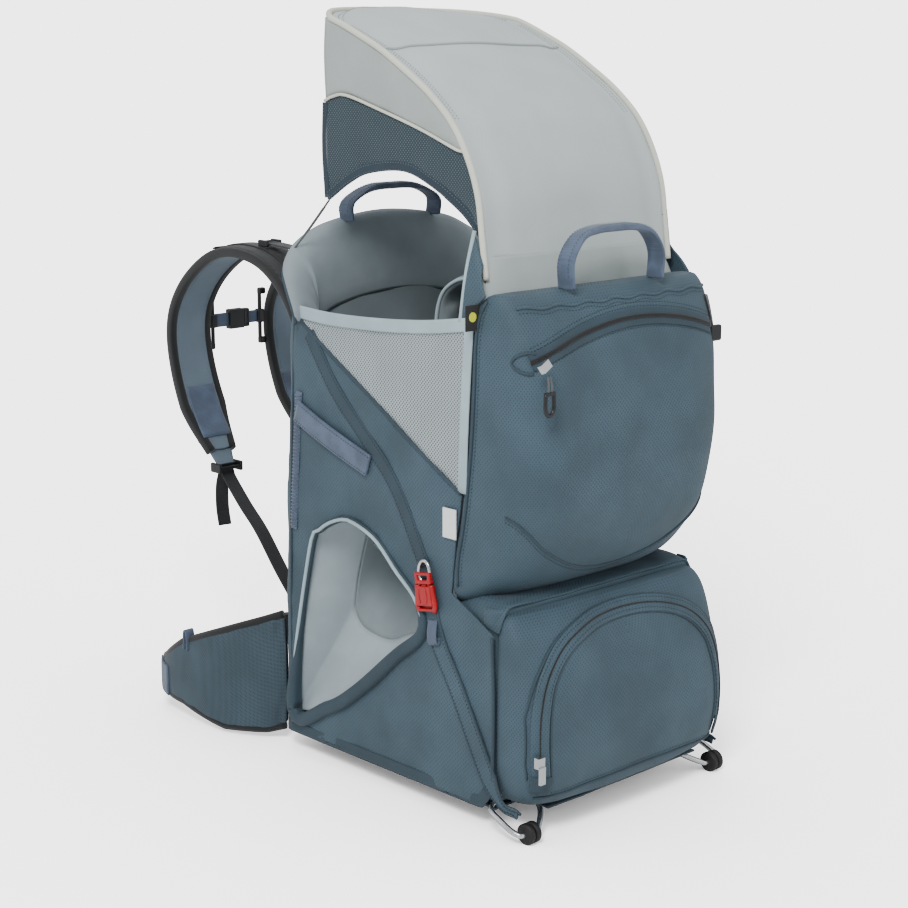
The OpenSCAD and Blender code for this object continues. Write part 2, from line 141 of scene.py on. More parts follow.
class Recipe:
    """A material under construction: its node tree, and short ways to add to it."""

    def __init__(self, name, roughness, metallic=0.0):
        self.material = bpy.data.materials.new(name)
        self.material.use_nodes = True
        self.nodes = self.material.node_tree.nodes
        self.links = self.material.node_tree.links
        self.shader = self.nodes["Principled BSDF"]
        self.shader.inputs["Roughness"].default_value = roughness
        self.shader.inputs["Metallic"].default_value = metallic
        self.place = self.add("ShaderNodeTexCoord").outputs["Object"]

    def add(self, kind, **settings):
        made = self.nodes.new(kind)
        for key, value in settings.items():
            setattr(made, key, value)
        return made

    def wire(self, source, socket):
        if isinstance(source, (int, float, tuple)):
            socket.default_value = source
        else:
            self.links.new(source, socket)

    def math(self, operation, a, b=0.0):
        made = self.add("ShaderNodeMath", operation=operation)
        self.wire(a, made.inputs[0])
        self.wire(b, made.inputs[1])
        return made.outputs[0]

    def noise(self, size_mm, detail=3):
        made = self.add("ShaderNodeTexNoise")
        made.inputs["Scale"].default_value = 1000 / size_mm
        made.inputs["Detail"].default_value = detail
        self.wire(self.place, made.inputs["Vector"])
        return made.outputs["Fac"]

    def cloth_plane(self, flat=False):
        """Coordinates that run along the cloth: across and up on walls, or across and along when flat."""
        parts = self.add("ShaderNodeSeparateXYZ")
        self.wire(self.place, parts.inputs[0])
        x, y, z = parts.outputs
        if flat:
            return x, self.math("SUBTRACT", y, z)
        round_y = self.math("ABSOLUTE", self.math("SUBTRACT", y, 0.06))
        return self.math("SUBTRACT", self.math("ABSOLUTE", x), round_y), z

    def waves(self, along, pitch_mm):
        return self.math("SINE", self.math("MULTIPLY", along, 2 * math.pi * 1000 / pitch_mm))

    def cells(self, pitch_mm, flat=False, diagonal=False):
        """Distance from the middle of the nearest cell of a regular grid, 0 to about 0.7."""
        across, up = self.cloth_plane(flat)
        if diagonal:
            across, up = self.math("ADD", across, up), self.math("SUBTRACT", across, up)
        joined = self.add("ShaderNodeCombineXYZ")
        self.wire(across, joined.inputs[0])
        self.wire(up, joined.inputs[1])
        grid = self.add("ShaderNodeTexVoronoi", voronoi_dimensions="2D")
        grid.inputs["Scale"].default_value = 1000 / pitch_mm
        grid.inputs["Randomness"].default_value = 0
        self.wire(joined.outputs[0], grid.inputs["Vector"])
        return grid.outputs["Distance"]

    def step(self, value, low, high):
        made = self.add("ShaderNodeMapRange", interpolation_type="SMOOTHSTEP")
        self.wire(value, made.inputs["Value"])
        made.inputs["From Min"].default_value = low
        made.inputs["From Max"].default_value = high
        return made.outputs["Result"]

    def mix(self, share, a, b):
        made = self.add("ShaderNodeMix", data_type="RGBA")
        self.wire(share, made.inputs["Factor"])
        self.wire(a, made.inputs["A"])
        self.wire(b, made.inputs["B"])
        return made.outputs["Result"]

    def shade(self, colour, low, high, share):
        """The colour times low to high, as share goes from 0 to 1."""
        dark = tuple(c * low for c in colour[:3]) + (1,)
        light = tuple(min(1, c * high) for c in colour[:3]) + (1,)
        return self.mix(share, dark, light)

    def bump(self, height, depth_mm, strength=1.0):
        made = self.add("ShaderNodeBump")
        made.inputs["Strength"].default_value = strength
        made.inputs["Distance"].default_value = depth_mm * MM
        self.wire(height, made.inputs["Height"])
        self.wire(made.outputs["Normal"], self.shader.inputs["Normal"])

    def colour(self, source):
        self.wire(source, self.shader.inputs["Base Color"])

    def constant(self, name, value):
        self.shader.inputs[name].default_value = value


def plain(name, colour, roughness):
    """A matt surface with faint cloudiness."""
    r = Recipe(name, roughness)
    r.colour(r.shade(colour, 0.98, 1.0, r.noise(300)))
    return r.material


def ripstop(name, code, flat=False, tone=(0.78, 1.2), dots=0.5, pitch=5.2, sheen=0.06):
    """Woven pack cloth: a regular ripstop dot over a fine grain, with worn and creased patches."""
    r = Recipe(name, 0.72)
    base = linear(code)
    patches = r.math("ADD", r.math("MULTIPLY", r.noise(70), 0.65), r.math("MULTIPLY", r.noise(1.1, 1), 0.35))
    cloth = r.shade(base, tone[0], tone[1], r.step(patches, 0.30, 0.70))
    dot = r.math("SUBTRACT", 1.0, r.step(r.cells(pitch, flat, True), 0.16, 0.34))
    dark = tuple(c * (1 - dots) for c in base[:3]) + (1,)
    r.colour(r.mix(r.math("MULTIPLY", dot, 0.8), cloth, dark))
    r.bump(r.math("SUBTRACT", r.noise(22, 4), r.math("MULTIPLY", dot, 0.7)), 0.35, 0.45)
    r.wire(r.math("ADD", r.math("MULTIPLY", r.noise(40), 0.22), 0.6), r.shader.inputs["Roughness"])
    r.constant("Sheen Weight", sheen)
    r.constant("Sheen Roughness", 0.5)
    return r.material


def soft_cloth(name, code, flat=False, tone=(0.9, 1.08), sheen=0.12, pitch=3.4):
    """Smooth lining cloth with a fine twill line and soft creases."""
    r = Recipe(name, 0.85)
    base = linear(code)
    across, up = r.cloth_plane(flat)
    twill = r.waves(r.math("ADD", across, up), pitch)
    share = r.math("ADD", r.math("MULTIPLY", r.noise(55), 0.8), r.math("MULTIPLY", twill, 0.05))
    r.colour(r.shade(base, tone[0], tone[1], r.step(share, 0.25, 0.60)))
    r.bump(r.math("ADD", r.math("MULTIPLY", twill, 0.15), r.noise(16, 4)), 0.5, 0.35)
    r.constant("Sheen Weight", sheen)
    r.constant("Sheen Roughness", 0.5)
    return r.material


def open_mesh(name, code, hole_code, pitch=2.4, flat=False, hole=(0.26, 0.40), roughness=0.8):
    """Knitted mesh: threads round a diagonal grid of dark holes."""
    r = Recipe(name, roughness)
    distance = r.cells(pitch, flat, True)
    hole_share = r.math("SUBTRACT", 1.0, r.step(distance, hole[0], hole[1]))
    thread = r.shade(linear(code), 0.86, 1.1, r.noise(45))
    r.colour(r.mix(hole_share, thread, linear(hole_code)))
    r.bump(distance, 0.6, 0.6)
    r.constant("Sheen Weight", 0.15)
    return r.material


def webbing(name, code, pitch=1.5, flat=False, rough=0.7):
    """Woven tape: ribs across its length and a faint chevron."""
    r = Recipe(name, rough)
    across, up = r.cloth_plane(flat)
    ribs = r.waves(up, pitch)
    cross = r.waves(across, pitch * 1.1)
    height = r.math("ADD", r.math("MULTIPLY", ribs, 0.35), r.math("MULTIPLY", cross, 0.25))
    share = r.math("ADD", r.math("MULTIPLY", height, 0.35), r.noise(24))
    r.colour(r.shade(linear(code), 0.72, 1.25, r.step(share, 0.25, 0.75)))
    r.bump(height, 0.25, 0.6)
    r.constant("Sheen Weight", 0.2)
    return r.material


def moulded(name, code, roughness=0.38, grain_mm=0.7):
    """Injection-moulded plastic with a fine spark-eroded grain and scuffs."""
    r = Recipe(name, roughness)
    scuffs = r.step(r.noise(9, 5), 0.52, 0.72)
    r.colour(r.shade(linear(code), 0.9, 1.3, scuffs))
    r.wire(r.math("ADD", r.math("MULTIPLY", scuffs, 0.18), roughness), r.shader.inputs["Roughness"])
    r.bump(r.noise(grain_mm, 2), 0.05, 0.4)
    return r.material


def metal(name, code, roughness, brushed_mm=0.6, coat=0.0):
    """Drawn or coated metal with fine streaks and handling marks."""
    r = Recipe(name, roughness, metallic=1.0 - coat)
    marks = r.noise(14, 5)
    r.colour(r.shade(linear(code), 0.86, 1.05, marks))
    r.wire(r.math("ADD", r.math("MULTIPLY", marks, 0.2), roughness - 0.08), r.shader.inputs["Roughness"])
    r.bump(r.noise(brushed_mm, 2), 0.03, 0.4)
    return r.material


def materials():
    return {
        "pack": ripstop("pack_cloth", "#3A505C"),
        "pack_flat": ripstop("pack_cloth_flat", "#334651", flat=True),
        "pack_dark": ripstop("pack_cloth_dark", "#293C47", dots=0.15),
        "binding": soft_cloth("pale_binding", "#A2B7BE", pitch=1.2),
        "liner": soft_cloth("pale_liner", "#869297"),
        # The same lining as pale_liner made darker: partly painted shade of the cockpit's hollow, partly a
        # darker lining cloth.
        "liner_dark": soft_cloth("lining_painted_shade", "#6F7A7F"),
        "chute": soft_cloth("leg_lining", "#A3B0B5"),
        "seat": soft_cloth("seat_cloth", "#828D91"),
        "seat_grey": soft_cloth("seat_grey", "#6B777B"),
        "side_mesh": open_mesh("side_mesh", "#A9B3B5", "#39444A", pitch=4.6, hole=(0.20, 0.42)),
        "shade_mesh": open_mesh("shade_mesh", "#1E2F38", "#54666D", pitch=4.4, hole=(0.14, 0.30)),
        "shade": soft_cloth("shade_cloth", "#B4BDBD", flat=True, tone=(0.97, 1.03), sheen=0.1),
        "shade_side": soft_cloth("shade_side_cloth", "#A3ACAA", tone=(0.96, 1.03), sheen=0.1),
        "piping": soft_cloth("cream_piping", "#D2D3C6", tone=(0.96, 1.02)),
        "hem": soft_cloth("dark_hem", "#1F303C"),
        "tape": webbing("blue_tape", "#4A586D"),
        "tape_flat": webbing("blue_tape_flat", "#4A586D", flat=True),
        "black_tape": webbing("black_tape", "#17181A"),
        "strap_face": soft_cloth("strap_lining", "#647481"),
        "pad_mesh": open_mesh("pad_mesh", "#26292B", "#0C0D0E", pitch=2.8),
        "edge": soft_cloth("black_edge", "#121314", sheen=0.2),
        "black": moulded("black_plastic", "#16171A"),
        "red": moulded("red_plastic", "#B00E16", roughness=0.3),
        "rubber": moulded("foot_rubber", "#141414", roughness=0.62, grain_mm=1.2),
        "tube": metal("coated_tube", "#3A3D40", 0.42, coat=0.6),
        "alloy": metal("bare_alloy", "#C4C6C8", 0.32),
        "wire": metal("stand_wire", "#D4D5D6", 0.22),
        "cord": webbing("cord_sheath", "#4B4F52", pitch=1.0),
        "white": soft_cloth("white_tab", "#EDEFEF", tone=(0.97, 1.0)),
        "yellow": soft_cloth("yellow_print", "#D9E021"),
        "thread": plain("stitch_thread", linear("#6F7F86"), 0.8),
        "dark_thread": plain("dark_thread", linear("#1E313C"), 0.8),
    }


# ---- mesh makers ----------------------------------------------------------------------------
def make(name, verts, faces, material, smooth=True):
    """A mesh object from design points in millimetres."""
    data = bpy.data.meshes.new(name)
    data.from_pydata([at(*v) for v in verts], [], faces)
    data.validate()
    data.materials.append(material)
    data.polygons.foreach_set("use_smooth", [smooth] * len(data.polygons))
    data.update()
    obj = bpy.data.objects.new(name, data)
    bpy.context.scene.collection.objects.link(obj)
    return obj


def smooth_line(points, count, closed=False):
    """A Catmull-Rom curve through the points, resampled at equal steps."""
    p = np.array(points, float)
    if closed:
        p = np.vstack([p[-1], p, p[0], p[1]])
    else:
        p = np.vstack([2 * p[0] - p[1], p, 2 * p[-1] - p[-2]])
    fine = []
    for i in range(1, len(p) - 2):
        for t in np.linspace(0, 1, 24, endpoint=False):
            a, b, c, d = p[i - 1], p[i], p[i + 1], p[i + 2]
            fine.append(0.5 * (2 * b + (c - a) * t + (2 * a - 5 * b + 4 * c - d) * t**2
                               + (3 * b - a - 3 * c + d) * t**3))
    fine.append(p[-2])
    return even(np.array(fine), count)


def even(line, count):
    """A polyline resampled at equal steps."""
    gone = np.concatenate([[0], np.cumsum(np.linalg.norm(np.diff(line, axis=0), axis=1))])
    want = np.linspace(0, gone[-1], count)
    return np.stack([np.interp(want, gone, line[:, k]) for k in range(line.shape[1])], axis=1)


def length_of(line):
    return float(np.linalg.norm(np.diff(np.array(line, float), axis=0), axis=1).sum())


def unit(v):
    v = np.array(v, float)
    return v / np.maximum(np.linalg.norm(v, axis=-1, keepdims=True), 1e-9)


def grid(name, rows, material, closed=False, both_ends=False):
    """A sheet of quads through rows of points. closed joins each row's ends."""
    n = len(rows[0])
    verts = [p for row in rows for p in row]
    span = n if closed else n - 1
    faces = [(i * n + j, i * n + (j + 1) % n, (i + 1) * n + (j + 1) % n, (i + 1) * n + j)
             for i in range(len(rows) - 1) for j in range(span)]
    if both_ends:
        faces += [tuple(range(n))[::-1], tuple((len(rows) - 1) * n + j for j in range(n))]
    return make(name, verts, faces, material)


def sweep(name, path, across, section, material, closed=False, scale=None):
    """A section of (across, out) offsets carried along a path. across is one vector or one a point."""
    p = np.array(path, float)
    ahead = unit(np.roll(p, -1, 0) - np.roll(p, 1, 0)) if closed else unit(np.gradient(p, axis=0))
    out = unit(np.cross(ahead, np.broadcast_to(np.array(across, float), p.shape)))
    side = np.cross(out, ahead)
    scale = np.ones((len(p), 2)) if scale is None else np.array(scale, float)
    rows = [[p[i] + s * scale[i][0] * side[i] + h * scale[i][1] * out[i] for s, h in section]
            for i in range(len(p))]
    if closed:
        rows.append(rows[0])
    return grid(name, rows, material, closed=True, both_ends=not closed)


def round_section(width, thick, power=4, count=16):
    """A rounded rectangle as (across, out) offsets."""
    made = []
    for i in range(count):
        a = 2 * math.pi * (i + 0.5) / count
        c, s = math.cos(a), math.sin(a)
        made.append((width / 2 * math.copysign(abs(c) ** (2 / power), c),
                     thick / 2 * math.copysign(abs(s) ** (2 / power), s)))
    return made


def end_taper(count, wide, thick):
    """Section scales that shrink to wide and thick at both ends of a sweep."""
    last = count - 1
    return [(wide + (1 - wide) * min(1, i / 5, (last - i) / 5),
             thick + (1 - thick) * min(1, i / 4, (last - i) / 4)) for i in range(count)]


def tube(name, path, radius, material, sides=10, closed=False):
    """A round cord or piping along a path, with its section carried without twist."""
    p = np.array(path, float)
    ahead = unit(np.roll(p, -1, 0) - np.roll(p, 1, 0)) if closed else unit(np.gradient(p, axis=0))
    start = np.array([0, 0, 1.0]) if abs(ahead[0][2]) < 0.9 else np.array([1.0, 0, 0])
    side = unit(np.cross(ahead[0], start))
    rows = []
    for i in range(len(p)):
        side = unit(side - ahead[i] * np.dot(side, ahead[i]))
        up = np.cross(ahead[i], side)
        rows.append([p[i] + radius * (math.cos(2 * math.pi * k / sides) * side
                                      + math.sin(2 * math.pi * k / sides) * up)
                     for k in range(sides)])
    if closed:
        rows.append(rows[0])
    return grid(name, rows, material, closed=True, both_ends=not closed)


def circle(count, radius, tall=None):
    """Offsets round a circle, or an oval where tall is given."""
    turns = np.linspace(0, 2 * math.pi, count + 1)[:-1]
    return [(radius * math.cos(a), (tall or radius) * math.sin(a)) for a in turns]


def inside(point, outline):
    x, y = point
    hit = False
    for (x0, y0), (x1, y1) in zip(outline, np.roll(outline, -1, 0)):
        if (y0 > y) != (y1 > y) and x < (x1 - x0) * (y - y0) / (y1 - y0) + x0:
            hit = not hit
    return hit


def panel(name, outline, place, material, holes=(), step=7):
    """A cloth panel cut to an outline in (u, v), filled with an even triangle grid and put in place."""
    loops = [np.array(o, float) for o in (outline, *holes)]
    points, edges = [], []
    for loop in loops:
        first = len(points)
        count = max(8, int(length_of(np.vstack([loop, loop[:1]])) / step))
        ring = even(np.vstack([loop, loop[:1]]), count + 1)[:-1]
        points += list(ring)
        edges += [(first + i, first + (i + 1) % count) for i in range(count)]
    rims = np.array(points)
    low, high = loops[0].min(0), loops[0].max(0)
    for i, v in enumerate(np.arange(low[1], high[1], step * 0.87)):
        for u in np.arange(low[0] + (i % 2) * step / 2, high[0], step):
            if np.min(np.abs(rims - (u, v)).max(1)) > step * 0.45 and inside((u, v), loops[0]):
                if not any(inside((u, v), h) for h in loops[1:]):
                    points.append(np.array((u, v)))
    flat, _, faces, *_ = delaunay_2d_cdt([Vector(p) for p in points], edges, [], 0, 1e-4)
    kept = []
    for f in faces:
        c = sum((flat[i] for i in f), Vector((0, 0))) / len(f)
        if inside(c, loops[0]) and not any(inside(c, h) for h in loops[1:]):
            kept.append(tuple(f))
    return make(name, [place(u, v) for u, v in flat], kept, material)


def thicken(obj, mm, offset=-1):
    made = obj.modifiers.new("thickness", "SOLIDIFY")
    made.thickness = mm * MM
    made.offset = offset
    return obj


def rounded(obj, levels=1):
    made = obj.modifiers.new("rounding", "SUBSURF")
    made.levels = made.render_levels = levels
    return obj


def bevelled(obj, mm, segments=2):
    made = obj.modifiers.new("bevel", "BEVEL")
    made.width = mm * MM
    made.segments = segments
    made.limit_method = "ANGLE"
    return obj


def crease(x, y, z, size, depth, seed=0.0):
    """Soft wrinkles: a signed depth in millimetres that varies over about size millimetres."""
    return depth * noise.noise(Vector((x / size + seed, y / size, z / size)))


def block(name, low, high, material, turn=None, mm=1.2):
    """A bevelled moulded block between two corners, optionally mapped by turn(x, y, z)."""
    corners = [(x, y, z) for x in (low[0], high[0]) for y in (low[1], high[1]) for z in (low[2], high[2])]
    if turn:
        corners = [turn(*c) for c in corners]
    faces = [(0, 1, 3, 2), (4, 6, 7, 5), (0, 4, 5, 1), (2, 3, 7, 6), (0, 2, 6, 4), (1, 5, 7, 3)]
    return bevelled(make(name, corners, faces, material, smooth=False), mm, 3)


def join(name, parts):
    """Several meshes made into one, modifiers applied."""
    depsgraph = bpy.context.evaluated_depsgraph_get()
    verts, faces, slots, used = [], [], [], []
    for p in parts:
        depsgraph.update()
        shaped = p.evaluated_get(depsgraph).to_mesh()
        first = len(verts)
        verts += [v.co.copy() for v in shaped.vertices]
        for f in shaped.polygons:
            faces.append([first + i for i in f.vertices])
            found = p.data.materials[f.material_index]
            if found not in used:
                used.append(found)
            slots.append((used.index(found), f.use_smooth))
    data = bpy.data.meshes.new(name)
    data.from_pydata(verts, [], faces)
    for m in used:
        data.materials.append(m)
    for f, (index, smooth) in zip(data.polygons, slots):
        f.material_index = index
        f.use_smooth = smooth
    for p in parts:
        bpy.data.objects.remove(p)
    obj = bpy.data.objects.new(name, data)
    bpy.context.scene.collection.objects.link(obj)
    return obj


PUFF_FRAMES = 20


def puff(obj, voxel_mm=6, pressure=4, cap_mm=8):
    """Cloth simulation that plumps a closed pad: remesh, inflate, and cap how far a point moves."""
    scene = bpy.context.scene
    bpy.context.view_layer.objects.active = obj
    obj.select_set(True)
    material = obj.data.materials[0]
    obj.data.remesh_voxel_size = voxel_mm * MM
    bpy.ops.object.voxel_remesh()
    if not obj.data.materials:
        obj.data.materials.append(material)
    cloth = obj.modifiers.new("cloth", "CLOTH")
    cloth.settings.quality = 4
    cloth.settings.mass = 0.25
    cloth.settings.tension_stiffness = 12
    cloth.settings.compression_stiffness = 12
    cloth.settings.bending_stiffness = 0.4
    cloth.settings.use_pressure = True
    cloth.settings.uniform_pressure_force = pressure
    cloth.settings.effector_weights.gravity = 0
    cloth.point_cache.frame_start = 1
    cloth.point_cache.frame_end = PUFF_FRAMES
    rest = np.array([v.co for v in obj.data.vertices])
    for f in range(1, PUFF_FRAMES + 1):
        scene.frame_set(f)
    shaped = obj.evaluated_get(bpy.context.evaluated_depsgraph_get()).to_mesh()
    moved = np.array([v.co for v in shaped.vertices]) - rest
    far = np.maximum(np.linalg.norm(moved, axis=1, keepdims=True), 1e-9)
    moved *= np.minimum(1, cap_mm * MM / far)
    obj.modifiers.remove(cloth)
    obj.data.vertices.foreach_set("co", (rest + moved).astype(np.float32).ravel())
    obj.data.polygons.foreach_set("use_smooth", [True] * len(obj.data.polygons))
    obj.data.update()
    scene.frame_set(1)
    obj.select_set(False)
    return rounded(obj)


class Skin:
    """Finds points on a finished piece, so that seams and trims lie on it."""

    def __init__(self, obj):
        shaped = obj.evaluated_get(bpy.context.evaluated_depsgraph_get())
        self.tree = BVHTree.FromObject(shaped, bpy.context.evaluated_depsgraph_get())

    def cast(self, start, heading, lift):
        hit, normal, *_ = self.tree.ray_cast(at(*start), Vector(heading))
        if hit is None:
            hit, normal, *_ = self.tree.find_nearest(at(*start))
        if normal.dot(Vector(heading)) > 0:
            normal = -normal
        spot = (hit - DATUM) / MM
        return np.array(spot + normal * lift), np.array(normal)

    def front(self, x, z, lift=0.6):
        return self.cast((x, -400, z), (0, 1, 0), lift)

    def side(self, sign, y, z, lift=0.6):
        return self.cast((sign * 400, y, z), (-sign, 0, 0), lift)

    def top(self, x, y, lift=0.6):
        return self.cast((x, y, 1200), (0, 0, -1), lift)


class Thread:
    """Rows of stitches, gathered into one piece for each body."""

    def __init__(self):
        self.rows = {}

    def sew(self, key, line, pitch=4.2, stitch=2.9, radius=0.42):
        count = max(2, int(length_of(line) / pitch))
        self.rows.setdefault(key, []).append((even(np.array(line, float), count * 2 + 1), radius, stitch))

    def finish(self, key, name, material):
        verts, faces = [], []
        for line, radius, stitch in self.rows.get(key, []):
            for i in range(1, len(line) - 1, 2):
                along = unit(line[i + 1] - line[i - 1])
                side = unit(np.cross(along, (0.31, 0.62, 0.72)))
                up = np.cross(along, side)
                first = len(verts)
                c = line[i]
                verts += [c - along * stitch / 2, c + side * radius, c + up * radius, c - side * radius,
                          c - up * radius, c + along * stitch / 2]
                faces += [(first, first + 1 + k, first + 1 + (k + 1) % 4) for k in range(4)]
                faces += [(first + 5, first + 1 + (k + 1) % 4, first + 1 + k) for k in range(4)]
        return make(name, verts, faces, material)


# ---- where pieces go ------------------------------------------------------------------------
def settle(obj, body, replaces=(), crumple=None):
    """Rides the piece on its body and hides the CAD nodes it stands for; a crumple value only gives the piece
    its own mesh.
    """
    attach(obj, body)
    if replaces:
        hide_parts(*replaces)
    if crumple is not None:
        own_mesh(obj)
    return obj


def fold_in(obj, replaces=()):
    """Settles a fixed piece of the pack's sides or floor on the root, with its own mesh."""
    return settle(obj, "root", replaces, FOLD_KEEP)


def bridge(obj, start, end, replaces=()):
    """Bakes a soft piece that spans two bodies into place and hides the CAD nodes it stands for; start and
    end are turned into row-frame points and left unused.
    """
    at(*start)
    at(*end)
    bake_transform(obj)
    if replaces:
        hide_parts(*replaces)
    return obj


def cloth(obj, held, rests_on=(), mm=2.0):
    """Gives a flat-cut sheet its thickness."""
    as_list(rests_on)
    return thicken(obj, mm)


def draped(name, rows, material):
    """An open sheet of quads through rows; the size it was cut to is measured and then left unused."""
    rows = [np.array(r, float) for r in rows]
    columns = np.array(rows).transpose(1, 0, 2)
    wide, long = max(length_of(r) for r in rows) * MM, max(length_of(c) for c in columns) * MM
    return grid(name, rows, material)


def cut_panel(name, outline, place, material, holes=(), step=7):
    return panel(name, outline, place, material, holes, step)


def pad(obj, cap_mm=4, voxel_mm=6):
    puff(obj, voxel_mm, 4, cap_mm)
    return obj


def stuffed(name, rows, material):
    """A closed padded shape lofted through rings of points."""
    made = rounded(grid(name, rows, material, closed=True, both_ends=True))
    return made


def flat_strip(name, path, normals, width, thick, material, scale=None):
    """A tape lying on a surface, given the surface's normals along its path."""
    p, n = np.array(path, float), np.broadcast_to(np.array(normals, float), np.shape(path))
    ahead = unit(np.gradient(p, axis=0))
    return sweep(name, p, np.cross(n, ahead), round_section(width, thick, 5, 12), material, scale=scale)


def loft(name, levels, back, material, across=61, up=45, seed=0.0, wrinkle=2.4):
    """A bag's shell through levels of (z, half width, seam y, face y, squareness), closed at back."""
    line = smooth_line(levels, up)
    rows = []
    for z, w, seam, face, n_power in line:
        row = []
        for i in range(across):
            a = math.pi * (1 - i / (across - 1))
            x = w * math.copysign(abs(math.cos(a)) ** (2 / n_power), math.cos(a))
            y = seam + (face - seam) * abs(math.sin(a)) ** (2 / n_power)
            push = crease(x, 0, z, 55, wrinkle, seed) * math.sin(a)
            row.append((x, y + push, z))
        inner = min(back, seam - 2)
        row += [(w - 5, seam, z), (w - 7, inner, z), (-w + 7, inner, z), (-w + 5, seam, z)]
        rows.append(row)
    return grid(name, rows, material, closed=True, both_ends=True)


# ---- soft body ------------------------------------------------------------------------------
LEG_HOLE = [(218, 56), (150, 74), (96, 109), (25, 170), (-18, 207), (-10, 243), (24, 271), (58, 300),
            (93, 313), (120, 314), (157, 296), (180, 262)]
MESH_EDGE = [(-79, 379), (-11, 417), (56, 458), (143, 509), (197, 543)]
MESH_TOP = [(-91, 566), (-20, 556), (60, 550), (140, 548), (202, 551)]
BACK_END = 100


def corner(z):
    return 16 + (z / 620) ** 2 * 44


def wall(sign, u, z, out=0.0):
    """A point on the pack's side at z: u is y on the flat, then runs round the back corner."""
    r = corner(z)
    bend = BACK_FACE - r
    angle = max(0, (u - bend) / r)
    if angle <= math.pi / 2:
        reach = r + out
        x, y = SIDE_X - r + reach * math.cos(angle), min(u, bend) + reach * math.sin(angle)
    else:
        x, y = SIDE_X - r - (angle - math.pi / 2) * r, BACK_FACE + out
    return sign * x, y, z


def back_end(z):
    r = corner(z)
    return BACK_FACE - r + r * math.pi / 2 + SIDE_X - r - BACK_END


def side_panels(m):
    hole = smooth_line(LEG_HOLE, 70, closed=True)
    top = smooth_line(MESH_EDGE, 24)
    backs = [(back_end(z), z) for z in np.linspace(600, 28, 24)]
    outline = [(-112, 27), (-130, 60), (-130, 228), (-62, 262), *top, (200, 575), (215, 592), *backs]
    for sign, side in SIDES:
        def place(u, z, sign=sign):
            bulge = crease(u, sign * 40, z, 60, 2.2) + crease(u, 0, z, 21, 0.7)
            return wall(sign, u, z, bulge)
        skin = cloth(cut_panel(f"side_cloth_{side}", outline, place, m["pack"], [hole], 6), "stretched",
                     ["back_frame"])
        fold_in(skin, [f"side_panel_{side}"])

        # the padded binding round the leg opening: thick along its lower lip, thin over its arch
        n = len(hole)
        ring = [wall(sign, u, z, 2.5) for u, z in hole]
        fat = []
        for u, z in hole:
            low = min(1, max(0, (250 - z - 0.45 * (u - 30)) / 90))
            fat.append((1 + 1.5 * low, 1 + 1.3 * low))
        lip = sweep(f"leg_binding_{side}", ring, (sign, 0, 0), round_section(7, 7.5, 2.6, 12),
                    m["pack_dark"], closed=True, scale=fat)
        fold_in(lip)
        arch = [wall(sign, u, z, 6.4) for u, z in hole[int(n * 0.36):int(n * 0.97)]]
        piping = tube(f"leg_piping_{side}", arch, 2.1, m["binding"])
        fold_in(piping)

        # the leg opening's lining: a pale ramp, the seat's side, the upper wall, and the arch's return
        lip = np.vstack([smooth_line([(136, 322), (166, 299), (185, 262), (202, 170), (216, 90), (224, 50)],
                                     24),
                         smooth_line([(224, 50), (150, 71), (96, 106), (25, 168), (-16, 206)], 36)[1:]])
        foot = smooth_line([(130, 323), (156, 262), (172, 200), (172, 172), (150, 158), (104, 158),
                            (60, 176), (10, 204), (-24, 214)], 59)
        ledge = smooth_line([(124, 322), (140, 270), (150, 238), (138, 224), (110, 224), (80, 232),
                             (50, 238), (14, 236), (-26, 230)], 59)
        roof = smooth_line([(128, 318), (110, 322), (90, 322), (70, 314), (50, 304), (30, 290), (4, 272),
                            (-28, 246)], 59)
        # The upper wall wears the darker lining copy, which is partly painted shade inside the leg opening.
        for name, low, high, x0, x1, sag, finish in (("ramp", lip, foot, 161, 104, -7, "chute"),
                                                     ("seat_side", foot, ledge, 104, 60, 4, "seat"),
                                                     ("upper", ledge, roof, 60, 92, -6, "liner_dark")):
            rows = []
            for k in np.linspace(0, 1, 16):
                row = []
                for a, b in zip(low, high):
                    u, z = a + (b - a) * k
                    x = x0 + (x1 - x0) * k
                    row.append((sign * x, u, z + sag * math.sin(math.pi * k) + crease(u, x, z, 34, 3.0)))
                rows.append(row)
            sheet = draped(f"leg_{name}_{side}", rows, m[finish])
            fold_in(cloth(sheet, "stretched", [f"side_cloth_{side}"]))
        arch = hole[int(n * 0.38):int(n * 0.69)]
        rows = [[(sign * (161 - 68 * k), 80 + (u - 80) * (1 + 0.04 * k), 222 + (z - 222) * (1 + 0.04 * k))
                 for u, z in arch]
                for k in np.linspace(0, 1, 10)]
        sheet = draped(f"leg_arch_{side}", rows, m["liner"])
        fold_in(cloth(sheet, "stretched", [f"side_cloth_{side}"]))

        # a ribbed webbing ladder down the back edge
        ladder_z = np.linspace(285, 455, 40)
        chain = [wall(sign, BACK_FACE - corner(z) - 3, z, 2.2) for z in ladder_z]
        facing = [unit(np.array(wall(sign, BACK_FACE - corner(z) - 3, z, 9)) - p)
                  for p, z in zip(chain, ladder_z)]
        rungs = [flat_strip("ladder", chain, facing, 11, 1.6, m["tape"])]
        for p, f in zip(chain[1:-1], facing[1:-1]):
            across = unit(np.cross(f, (0, 0, 1.0)))
            rungs.append(tube("rung", [p + f * 1.3 + across * k for k in (-5, 0, 5)], 0.9, m["tape"], 6))
        fold_in(join(f"edge_ladder_{side}", rungs))

        # seams of the back edge and the hem along the floor
        for offset in (12, 42, 76):
            seam = [wall(sign, back_end(z) - offset, z, 1.6) for z in np.linspace(34, 585, 40)]
            cord = tube(f"edge_seam_{side}_{offset}", seam, 1.5, m["pack_dark"], 6)
            fold_in(cord)
        hem = [wall(sign, u, 31 if u > -112 else 31 + (-112 - u) * 1.6, 1.5)
               for u in np.linspace(-124, 280, 60)]
        band = flat_strip(f"side_hem_{side}", hem, hem_normals(sign, hem), 14, 1.6, m["pack_dark"])
        fold_in(band)

